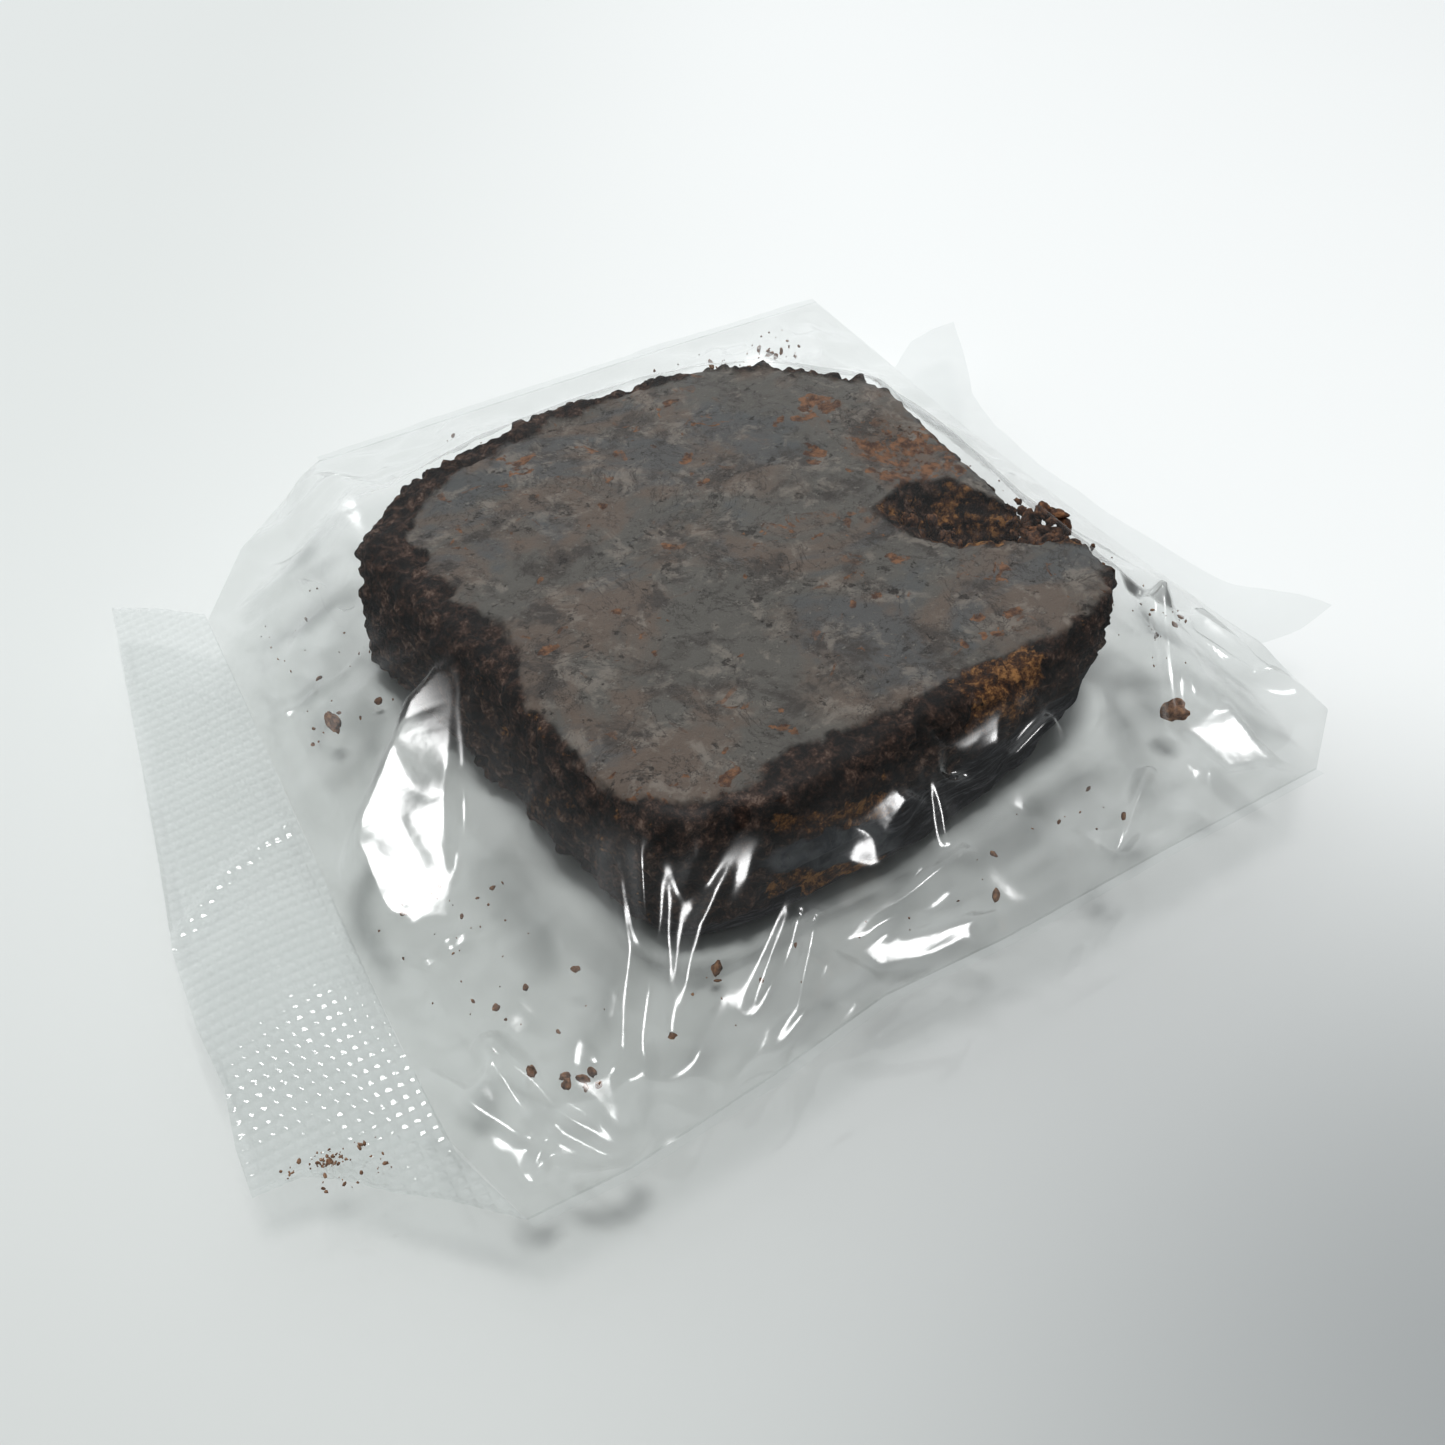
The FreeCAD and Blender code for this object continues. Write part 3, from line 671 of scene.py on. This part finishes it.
# small flat facets of film
FACETS = [
    [(-37, -37), (-32, -38), (-35, -45)], [(-40, -32), (-41, -44), (-43, -44), (-45, -35)],
    [(-15, -35), (-12, -39), (0, -43), (-2, -45), (-12, -43)],
    [(-23, -30), (-20, -30), (-25, -37), (-27, -38)],
    [(3, -28), (12, -29), (9, -33), (5, -32)], [(27, -35), (33, -36), (33, -44), (27, -42)],
    [(-34, 27), (-32, 22), (-31, 15), (-33, 18)], [(-8, -31), (-2, -30), (0, -33), (-5, -35)],
    [(37, -27), (41, -24), (42, -34), (39, -34)]]
FACET_WAVE = 0.16
PLEAT_STRETCH = np.array([1.0, 0.7])


def coons(front, right, rear, left, columns, rows):
    """Grid of points filling the space between four edges."""
    u = np.linspace(0, 1, columns)[None, :, None]
    v = np.linspace(0, 1, rows)[:, None, None]
    f, r = resample(front, columns)[None], resample(rear, columns)[None]
    l, t = resample(left, rows)[:, None], resample(right, rows)[:, None]
    corner = (1 - u) * ((1 - v) * f[:, :1] + v * r[:, :1]) + u * ((1 - v) * f[:, -1:] + v * r[:, -1:])
    return (1 - v) * f + v * r + (1 - u) * l + u * t - corner


def relaxed(grid, floor=None, ceiling=None, steps=900):
    """Heights of a stretched film between its rim and what it lies on or under."""
    z = grid[:, :, 2].copy()
    for _ in range(steps):
        z[1:-1, 1:-1] = 0.25 * (z[2:, 1:-1] + z[:-2, 1:-1] + z[1:-1, 2:] + z[1:-1, :-2])
        if floor is not None:
            z[1:-1, 1:-1] = np.maximum(z, floor)[1:-1, 1:-1]
        if ceiling is not None:
            z[1:-1, 1:-1] = np.minimum(z, ceiling)[1:-1, 1:-1]
    return z


def block_depth(grid):
    """How far inside the block's outline each grid point is."""
    outline = closed_curve(BLOCK_OUTLINE, 90)
    return inside(grid[:, :, :2].reshape(-1, 2), outline).reshape(grid.shape[:2])


def shoulder(depth):
    """Height of the film over the block's rounded upper edge, at a depth inside the outline."""
    return FILM_LIFT + np.interp(depth, [0.0, 0.3, 0.75, 1.35, 2.4], [0.0, 12.4, 14.6, 15.5, BLOCK_TOP])


def build_webs():
    """Upper and lower film before any crumple, the upper one drawn straight from the block to the rim."""
    grid = coons(FRONT_EDGE, RIGHT_EDGE, REAR_EDGE, LEFT_EDGE, COLUMNS, ROWS)
    depth = block_depth(grid)
    upper, lower = grid.copy(), grid.copy()
    over = np.where(depth > 0.2, shoulder(depth), 0.0)
    to_rim = rim_distance(grid)
    share = to_rim / (to_rim + np.maximum(0.2 - depth, 0.0) + 1e-6)
    straight = grid[:, :, 2] + (shoulder(0.9) - grid[:, :, 2]) * share
    upper[:, :, 2] = np.where(depth > 0.2, over, straight)
    upper[:, :, 2] = relaxed(upper, floor=over, steps=60)
    under = depth > -1.0
    lower[:, :, 2] = np.where(under, WEB_GAP, grid[:, :, 2])
    bottom = np.full(depth.shape, WEB_GAP)
    lower[:, :, 2] = relaxed(lower, floor=bottom, ceiling=np.where(under, WEB_GAP, NO_CEILING))
    return upper, lower


def crumpled_tray(lower):
    """Lower film with soft crumples between the block and the rim."""
    free = smoothstep(0.0, 5.0, rim_distance(lower)) * smoothstep(0.0, -5.0, block_depth(lower))
    crumple = 0.5 - 0.9 * np.abs(noise(lower[:, :, :2].reshape(-1, 2), 9.0, 47)).reshape(free.shape)
    lower[:, :, 2] = np.maximum(lower[:, :, 2] + free * crumple, WEB_GAP)
    return lower


SIM_SCALE = 10.0
SIM_FRAMES = 26
SIM_SLACK = 0.018


def smoothed(grid, passes):
    """Grid with its smallest wrinkles evened out."""
    grid = grid.copy()
    for _ in range(passes):
        around = 0.25 * (grid[2:, 1:-1] + grid[:-2, 1:-1] + grid[1:-1, 2:] + grid[1:-1, :-2])
        grid[1:-1, 1:-1] = 0.5 * (grid[1:-1, 1:-1] + around)
    return grid


def film_former():
    """Plain solid of the block's shape for the simulated film to settle on."""
    outline = closed_curve(BLOCK_OUTLINE, 90)
    layers = [(0.0, 0.98), (2.5, 1.0), (12.0, 0.995), (14.6, 0.975), (BLOCK_TOP - BLOCK_BASE, 0.945)]
    rings = [ring(outline, BLOCK_MIDDLE, scale, BLOCK_BASE + z) * MM * SIM_SCALE for z, scale in layers]
    former = lofted("film_former", rings)
    former.modifiers.new("collide", "COLLISION")
    former.collision.thickness_outer = 0.003
    former.collision.cloth_friction = 20.0
    return former


def drape(grid, seed=21):
    """Film settled over the block by a cloth simulation, ten times life size, with its rim held."""
    rows, columns = grid.shape[:2]
    start = grid.reshape(-1, 3).copy()
    rim = np.ones((rows, columns), bool)
    rim[1:-1, 1:-1] = False
    start[:, 2] += ~rim.ravel() * (0.5 * np.abs(fractal(start[:, :2], 9.0, seed, 2)))
    film = mesh_object("film_trial", start * MM * SIM_SCALE, grid_faces(rows, columns))
    film.vertex_groups.new(name="rim").add([int(i) for i in np.flatnonzero(rim.ravel())], 1.0, "REPLACE")
    former = film_former()
    cloth = film.modifiers.new("cloth", "CLOTH")
    settings = cloth.settings
    settings.quality = 5
    settings.mass = 0.15
    settings.tension_stiffness = settings.compression_stiffness = 40.0
    settings.shear_stiffness = 20.0
    settings.bending_stiffness = 4.0
    settings.tension_damping = settings.compression_damping = settings.shear_damping = 10.0
    settings.air_damping = 2.0
    settings.shrink_min = settings.shrink_max = -SIM_SLACK
    settings.vertex_group_mass = "rim"
    settings.effector_weights.gravity = 0.08
    cloth.collision_settings.distance_min = 0.003
    cloth.collision_settings.collision_quality = 3
    cloth.point_cache.frame_start = 1
    cloth.point_cache.frame_end = SIM_FRAMES
    for step in range(1, SIM_FRAMES + 1):
        bpy.context.scene.frame_set(step)
    apply_modifiers(film)
    settled = coordinates(film) / (MM * SIM_SCALE)
    bpy.context.scene.frame_set(1)
    for item in (film, former):
        bpy.data.objects.remove(item)
    return smoothed(settled.reshape(rows, columns, 3), 5)


def cubic(line, at):
    """Smooth interpolation of rows of points at the given fractional positions."""
    n = len(line)
    i = np.clip(np.floor(at).astype(int), 0, n - 2)
    t = (at - i).reshape(-1, 1, 1)
    p0, p1, p2, p3 = (line[np.clip(i + k, 0, n - 1)] for k in (-1, 0, 1, 2))
    return 0.5 * (2 * p1 + (p2 - p0) * t + (2 * p0 - 5 * p1 + 4 * p2 - p3) * t ** 2
                  + (3 * p1 - p0 - 3 * p2 + p3) * t ** 3)


def refined(grid, factor):
    """Grid with more points in each direction, smoothly interpolated."""
    for _ in range(2):
        count = len(grid)
        grid = cubic(grid, np.linspace(0, count - 1, (count - 1) * factor + 1)).transpose(1, 0, 2)
    return grid


def grid_normals(grid):
    across = np.gradient(grid, axis=1)
    up = np.gradient(grid, axis=0)
    normal = np.cross(across, up)
    return normal / np.linalg.norm(normal, axis=2, keepdims=True)


def rim_distance(grid):
    """Grid steps in from the nearest edge, as millimetres."""
    rows, columns = grid.shape[:2]
    i = np.minimum(np.arange(rows), np.arange(rows)[::-1])[:, None] * EDGE_SPAN / rows
    j = np.minimum(np.arange(columns), np.arange(columns)[::-1])[None, :] * EDGE_SPAN / columns
    return np.minimum(i, j)


def fold_heights(flat, folds):
    """Sum of pinched folds with gently sloping sides that fade at both ends."""
    total = np.zeros(len(flat))
    for index, (line, half) in enumerate(folds):
        line = np.asarray(line, float)
        low, high = line.min(axis=0) - 2 * half, line.max(axis=0) + 2 * half
        near = np.flatnonzero(((flat > low) & (flat < high)).all(axis=1))
        wander = 0.35 * noise(flat[near], 3.0, 91)[:, None]
        distance, along = distance_to_line(flat[near] + wander, line)
        fade = np.sin(math.pi * np.clip(along / (len(line) - 1), 0.04, 0.96)) ** 0.5
        height = FOLD_STEEPNESS * half * (1 + 0.25 * noise(flat[near], 6.0, 200 + index))
        total[near] += height * fade * np.cos(0.5 * math.pi * np.clip(distance / half, 0, 1)) ** 2
    return total


def dished(flat):
    """Height of a shallow dish with the tilt that every flat facet of the film shares."""
    offset = flat - DISH_MIDDLE
    return offset @ DISH_SLOPE + offset ** 2 @ DISH_CURVE


def flattened(grid, polygon, tip=None, edge=1.2, share=0.85, pleat=0.0):
    """Grid with the film inside the polygon drawn to the dish's tilt, through the tip where one is given."""
    flat = grid[:, :, :2].reshape(-1, 2)
    z = grid[:, :, 2].ravel()
    depth = inside(flat, polygon)
    within = depth > 0
    facet = dished(flat)
    if tip is None:
        facet += (z - facet)[within].mean() + 0.15
    else:
        facet += tip[2] - dished(np.array([tip[:2]]))
    facet += FACET_WAVE * noise(flat, 6.0, 48)
    facet += pleat * np.abs(noise(flat * PLEAT_STRETCH, 2.4, 49))
    amount = share * smoothstep(-0.3, edge, depth) * smoothstep(0.0, 3.0, rim_distance(grid)).ravel()
    out = grid.copy()
    out[:, :, 2] = (z + (facet - z) * amount).reshape(grid.shape[:2])
    return out


def pulled_taut(grid, line, half):
    """Grid with the film beside a fold drawn straight, so that the fold reads as one long line."""
    flat = grid[:, :, :2].reshape(-1, 2)
    z = grid[:, :, 2].ravel()
    distance, _ = distance_to_line(flat, line)
    near = distance < 0.6 * half
    fold = dished(flat)
    fold += (z - fold)[near].mean()
    amount = 0.8 * np.cos(0.5 * math.pi * np.clip(distance / (2.2 * half), 0, 1)) ** 2
    amount *= smoothstep(0.0, 3.0, rim_distance(grid)).ravel()
    out = grid.copy()
    out[:, :, 2] = (z + (fold - z) * amount).reshape(grid.shape[:2])
    return out


def creased(grid):
    """Crumples, facets and pinched folds added to the settled film."""
    flat = grid[:, :, :2].reshape(-1, 2)
    shape = grid.shape[:2]
    free = smoothstep(0.6, -1.2, block_depth(grid)) * smoothstep(0.0, 4.0, rim_distance(grid))
    crumple = 0.62 - 0.80 * np.abs(noise(flat, 11.0, 41)) - 0.42 * np.abs(noise(flat, 5.5, 42))
    crumple = crumple.reshape(shape)
    grid = grid + grid_normals(grid) * (free * crumple)[:, :, None]
    for line, half in TAUT_FOLDS:
        grid = pulled_taut(grid, line, half)
    for polygon in FACETS:
        grid = flattened(grid, polygon)
    grid = flattened(grid, TONGUE, TONGUE_TIP, edge=2.0, share=1.0, pleat=0.10)
    flat = grid[:, :, :2].reshape(-1, 2)
    push = fold_heights(flat, TAUT_FOLDS + SLACK_FOLDS)
    push += 0.05 * noise(flat, 3.2, 44) + 0.02 * noise(flat, 1.5, 45)
    push = push.reshape(shape)
    return grid + grid_normals(grid) * (push * smoothstep(0.0, 1.5, rim_distance(grid)))[:, :, None]


def clear_of_block(grid):
    """Film kept just outside the block's top and walls."""
    depth = block_depth(grid)
    out = grid.copy()
    out[:, :, 2] = np.maximum(out[:, :, 2], np.where(depth > 0.2, shoulder(depth), 0.0))
    return out


def sheet_object(name, grid):
    rows, columns = grid.shape[:2]
    return mesh_object(name, grid.reshape(-1, 3) * MM, grid_faces(rows, columns))


# ---------------------------------------------------------------- seals

BAND_OUTER = [
    (-59.3, -33.0, 6.2), (-59.1, -28.5, 5.9), (-58.2, -23.5, 6.2), (-58.4, -17.0, 5.9), (-57.9, -9.0, 5.6),
    (-56.2, 0.9, 5.2), (-54.0, 14.9, 4.9), (-50.4, 38.0, 5.0)]
BAND_INNER = [
    (-43.9, -46.2, 9.2), (-45.7, -38.0, 7.0), (-45.6, -27.0, 6.5), (-45.0, -14.0, 6.3), (-44.3, 0.0, 6.2),
    (-43.4, 15.0, 6.2), (-42.7, 30.0, 6.5)]
BAND_FRONT = [(-59.3, -33.0, 6.2), (-55.7, -33.6, 6.6), (-53.5, -35.4, 6.9), (-50.5, -38.9, 7.6),
              (-47.8, -41.6, 8.4), (-43.9, -46.2, 9.2)]
BAND_REAR = [(-50.4, 38.0, 5.0), (-46.5, 34.6, 5.7), (-42.7, 30.0, 6.5)]
WAFFLE_PITCH = 1.05
WAFFLE_HEIGHT = 0.15
HINGE_ALONG = np.array([0.0476, 0.99887])
HINGE_OUT = np.array([-HINGE_ALONG[1], HINGE_ALONG[0], 0.0])
BAND_CREASE = [(-58.0, -8.0), (-52.0, -3.0), (-45.6, -1.0)]


def waffle(flat):
    """Height share, from 0 to 1, of the square bosses pressed into the mouth seal."""
    along = flat @ HINGE_ALONG
    across = flat @ HINGE_OUT[:2]
    bosses = np.ones(len(flat))
    for place, pitch in ((along, WAFFLE_PITCH * 1.08), (across, WAFFLE_PITCH * 0.93)):
        wave = np.abs(((place / pitch) % 1.0) - 0.5) * 2
        bosses = np.minimum(bosses, np.clip((1 - wave) * 1.7, 0, 1))
    return bosses


def build_band():
    """Mouth seal pressed into a waffle of small square bosses, gently waved along its length."""
    grid = coons(BAND_FRONT, BAND_INNER, BAND_REAR, BAND_OUTER, 96, 430)
    flat = grid[:, :, :2].reshape(-1, 2)
    shape = grid.shape[:2]
    bosses = waffle(flat)
    edge = smoothstep(0.0, 1.4, rim_distance(grid))
    wave = 0.5 * noise(flat, 17.0, 77) + 0.22 * noise(flat, 7.0, 78)
    crease, _ = distance_to_line(flat, BAND_CREASE)
    wave += 0.35 * np.clip(1 - crease / 1.2, 0, 1)
    u = np.linspace(0, 1, shape[1])[None, :]
    along = (flat @ HINGE_ALONG).reshape(shape)
    belly = np.sin(math.pi * u) * 0.8 * np.exp(-((along + 17) / 13.0) ** 2)
    grid[:, :, 2] += (wave * edge.ravel()).reshape(shape) + belly
    grid[:, :, 2] += (bosses.reshape(shape) - 0.5) * WAFFLE_HEIGHT
    band = sheet_object("mouth_band", grid)
    paint(band, "cell", bosses)
    return band


TAIL_INNER = [(44.7, -30.0, 6.6), (44.4, -10.0, 6.2), (44.4, 15.0, 6.2), (44.6, 30.0, 6.8)]
TAIL_OUTER = [
    (52.0, -31.6, 8.0), (49.4, -22.0, 6.6), (47.8, -8.0, 5.8), (47.3, 5.0, 5.6), (48.4, 15.0, 5.4),
    (50.6, 22.0, 5.2), (55.0, 29.0, 5.2), (59.2, 36.4, 5.4)]
TAIL_FRONT = [(44.7, -30.0, 6.6), (48.4, -31.4, 7.6), (52.0, -31.6, 8.0)]
TAIL_REAR = [(44.6, 30.0, 6.8), (50.5, 34.4, 6.4), (55.0, 35.8, 6.0), (59.2, 36.4, 5.4)]


def build_tail():
    """Narrow end seal that curls up at the front and opens into a loose ear at the rear."""
    grid = coons(TAIL_FRONT, TAIL_OUTER, TAIL_REAR, TAIL_INNER, 40, 260)
    flat = grid[:, :, :2].reshape(-1, 2)
    shape = grid.shape[:2]
    u = np.linspace(0, 1, shape[1])[None, :]
    grid[:, :, 2] += (0.5 * noise(flat, 9.0, 81) + 0.25 * np.abs(noise(flat, 4.0, 82))).reshape(shape) * u
    grid[:, :, 2] += 1.2 * u ** 2 * smoothstep(-20, -31, flat[:, 1]).reshape(shape)
    return sheet_object("tail_strip", grid)


def weld_strip(name, line, outward, seed):
    """Thin wavy strip of welded film along one side of the bag."""
    line = resample(line, 220)
    across = np.linspace(-0.2, 0.8, 7)
    grid = line[:, None, :] + across[None, :, None] * np.array(outward)
    flat = grid[:, :, :2].reshape(-1, 2)
    wave = 0.16 * noise(flat, 5.0, seed) + 0.05 * noise(flat, 1.6, seed + 1)
    grid[:, :, 2] += wave.reshape(grid.shape[:2]) * np.clip(across, 0, 1)[None, :]
    return sheet_object(name, grid)


# ---------------------------------------------------------------- build

# strewn places: x, y and share of the way up from the lower film to the upper one
LOOSE_CRUMBS = [(-37, 10.5, 0, 1.9), (32, -31.5, 0, 2.3), (-20, -32, 0, 1.2), (1.5, -41, 0.4, 1.0)]
CRUMB_PLACES = [(-43, -37, -36, -16, 0, 0.3), (-38, -34, -39, -35, 0, 0.3), (24, 35, 37, 42, 0, 0.3)]
DUST_PLACES = [
    (24, 36, 36, 43, 0, 1), (35, 41, -26, -12, 0, 1), (-43, -30, -34, -12, 0, 0.4),
    (-30, 20, -40, -33, 0, 0.4), (34, 42, -30, 10, 0, 0.4), (-10, 36, 36, 43, 0, 1),
    (-40, -30, 6, 30, 0, 0.4), (36, 41, 0, 30, 0, 0.4)]
# strewn places: x, y and height
CHIP_PLACES = [
    (23, 29, -9, -2, 9.4, 11.4), (29, 33, -14, -4, 12.6, 14.0), (19, 24, -6, 0, 12.0, 13.8),
    (31.6, 33.8, -13, -9, 13.6, 15.4), (31.0, 33.6, -16.5, -10, 11.6, 14.4)]
CHIP_HEAP = [(29.5, 33, -15.5, -8, 11.0, 13.6)]
BAND_DUST_PLACES = [
    (-54.5, -52.5, -34.5, -33.5, 7.1, 7.4), (-57, -53, -33.5, -32.5, 6.7, 7.0),
    (-55, -50, -37, -33.5, 7.2, 7.6)]


def stand_for(piece, material, nodes):
    """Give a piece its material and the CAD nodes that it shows."""
    if material:
        piece.data.materials.append(material)
    if nodes:
        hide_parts(*nodes)


def make_block():
    block = build_block()
    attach(block, "pouch")
    stand_for(block, block_material(), ["pressed_block"])


def film_grids():
    """Upper and lower film; the upper one is settled, crumpled and kept clear of the block."""
    upper, lower = build_webs()
    upper = drape(upper)
    return clear_of_block(creased(refined(upper, FILM_FINENESS))), crumpled_tray(lower)


def contact(upper):
    """Share, from 0 to 1, of each point's contact with the block, reaching further out on the left."""
    flat = upper[:, :, :2].reshape(-1, 2)
    left_side = smoothstep(-16, -22, flat[:, 0]) * smoothstep(-24, -17, flat[:, 1])
    return smoothstep(-2.2 - 4.5 * left_side, 0.2, block_depth(upper).ravel())


def make_webs(upper, lower):
    material = film_material("clear_film", (0.930, 0.936, 0.932), 1.15, 0.005, 0.17)
    tent = sheet_object("film_tent", upper)
    paint(tent, "clinging", contact(upper))
    tray = sheet_object("film_tray", lower)
    for web, node, held in ((tent, "film_upper", "draped"), (tray, "film_lower", "laid")):
        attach(web, "pouch")
        stand_for(web, material, [node])


def make_side_welds(material):
    front = weld_strip("front_weld_strip", FRONT_EDGE, (0.0, -1.0, 0.15), 61)
    rear = weld_strip("rear_weld_strip", REAR_EDGE[::-1], (0.0, 1.0, 0.15), 63)
    for strip, node in ((front, "front_side_weld"), (rear, "rear_side_weld")):
        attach(strip, "pouch")
        stand_for(strip, material, [node])


def make_end_seals(material):
    """Mouth band and tail strip, each a sheet from the pouch's edge out to its seal's outer edge."""
    band = build_band()
    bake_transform(band)
    stand_for(band, crimped_material(), ["mouth_seal"])
    tail = build_tail()
    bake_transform(tail)
    stand_for(tail, material, ["tail_seal"])


def make_crumbs(upper, lower):
    """Crumbs between the films, chips in the crack and dust on the band, each one mesh."""
    strewn = LOOSE_CRUMBS + scattered(CRUMB_PLACES, 12, 0.8, 1.2, 6)
    strewn += scattered(DUST_PLACES, 240, 0.14, 0.7, 3)
    brown = crumb_material("crumbs", (0.050, 0.026, 0.014), (0.220, 0.105, 0.055), (0.44, 0.24, 0.12))
    crumbs = grains("scattered_crumbs", between_films(strewn, lower, upper), brown)
    in_crack = scattered(CHIP_PLACES, 190, 0.35, 1.6, 8) + scattered(CHIP_HEAP, 60, 1.1, 2.4, 9)
    rusty = crumb_material("rust_crumbs", (0.012, 0.006, 0.004), (0.085, 0.034, 0.015), (0.30, 0.13, 0.05))
    chips = grains("rust_chips", in_crack, rusty)
    pale = crumb_material("seal_dust", (0.10, 0.05, 0.03), (0.26, 0.14, 0.08), (0.42, 0.26, 0.16))
    dust = grains("band_dust", scattered(BAND_DUST_PLACES, 90, 0.10, 0.40, 4), pale)
    for piece, body, nodes, slot in ((crumbs, "pouch", ["loose_crumbs"], "crumbs"),
                                     (chips, "pouch", ["crack_crumbs"], "rust_crumbs"),
                                     (dust, "mouth_flap", [], "crumbs")):
        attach(piece, body)
        stand_for(piece, None, nodes)


def make_object():
    make_block()
    upper, lower = film_grids()
    make_webs(upper, lower)
    welded = film_material("welded_film", (0.915, 0.925, 0.922), 1.0, 0.02, 0.14)
    make_side_welds(welded)
    make_end_seals(welded)
    make_crumbs(upper, lower)


# ---------------------------------------------------------------- studio

FLOOR_REACH = 1.5
EYE, AIM = Vector((-55.3, -89.3, 100.6)), Vector((-2.9, -5.5, 0.0))


def softbox(name, place, size, radiance, aim_at=(0, 0, 0)):
    light = bpy.data.lights.new(name, "AREA")
    light.shape = "RECTANGLE"
    light.size, light.size_y = size
    light.energy = radiance * math.pi * size[0] * size[1]
    lamp = bpy.data.objects.new(name, light)
    lamp.location = place
    lamp.rotation_euler = (Vector(aim_at) - Vector(place)).to_track_quat("-Z", "Y").to_euler()
    bpy.context.scene.collection.objects.link(lamp)


def floor_material():
    """Glossy white table with painted shade: darker towards its front right, with a painted shadow there,
    and a little darker on the left.
    """
    n = Nodes("floor")
    parts = n.add("SeparateXYZ", Vector=n.place())
    x, y = parts.outputs["X"], parts.outputs["Y"]
    across = n.math("SUBTRACT", n.math("MULTIPLY", x, 0.85), n.math("MULTIPLY", y, 0.53))
    back = n.math("ADD", n.math("MULTIPLY", x, 0.53), n.math("MULTIPLY", y, 0.85))
    # painted shade: the floor colour darkens on the left and towards the front
    shaded_tone = n.mix(n.step(across, -0.10, 0.03), (0.74, 0.765, 0.75), (0.93, 0.945, 0.94))
    shaded_tone = n.mix(n.step(back, 0.02, -0.11), shaded_tone, (0.62, 0.64, 0.625))
    # painted shadow: a dark round spot on the floor at the front right
    to_painted_shadow = n.math("SQRT", n.math("ADD", n.math("POWER", n.math("SUBTRACT", x, 0.012), 2.0),
                                      n.math("POWER", n.math("ADD", y, 0.100), 2.0)))
    shaded_tone = n.mix(n.step(to_painted_shadow, 0.085, 0.000), shaded_tone, (0.34, 0.355, 0.36))
    shader = n.add("BsdfPrincipled", Base_Color=shaded_tone, Roughness=0.04)
    shader.inputs["Specular IOR Level"].default_value = 0.65
    return n.finish(shader.outputs[0])


def sky():
    """Even pale surroundings, brighter behind the object."""
    world = bpy.data.worlds.new("studio")
    world.use_nodes = True
    tree = world.node_tree
    place = tree.nodes.new("ShaderNodeTexCoord")
    parts = tree.nodes.new("ShaderNodeSeparateXYZ")
    tree.links.new(place.outputs["Generated"], parts.inputs[0])
    ramp = tree.nodes.new("ShaderNodeMapRange")
    for key, value in (("From Min", -0.3), ("From Max", 0.8), ("To Min", 0.26), ("To Max", 1.10)):
        ramp.inputs[key].default_value = value
    tree.links.new(parts.outputs["Y"], ramp.inputs["Value"])
    background = tree.nodes["Background"]
    background.inputs["Color"].default_value = (0.94, 0.97, 0.98, 1.0)
    tree.links.new(ramp.outputs["Result"], background.inputs["Strength"])
    return world


def studio():
    scene = bpy.context.scene
    scene.view_settings.view_transform = "Standard"
    camera = bpy.data.objects.new("camera", bpy.data.cameras.new("camera"))
    camera.data.sensor_width = 36.0
    camera.data.lens = 35.0
    camera.data.clip_start = 0.005
    camera.location = EYE * MM
    camera.rotation_euler = (AIM - EYE).to_track_quat("-Z", "Y").to_euler()
    scene.collection.objects.link(camera)
    scene.camera = camera
    corners = [(x * FLOOR_REACH, y * FLOOR_REACH, 0) for x, y in ((-1, -1), (1, -1), (1, 1), (-1, 1))]
    table = mesh_object("floor", corners, [(0, 1, 2, 3)])
    table.data.materials.append(floor_material())
    scene.world = sky()
    softbox("key", (0.0, -0.04, 0.90), (0.24, 0.20), 27.0)


make_object()
studio()
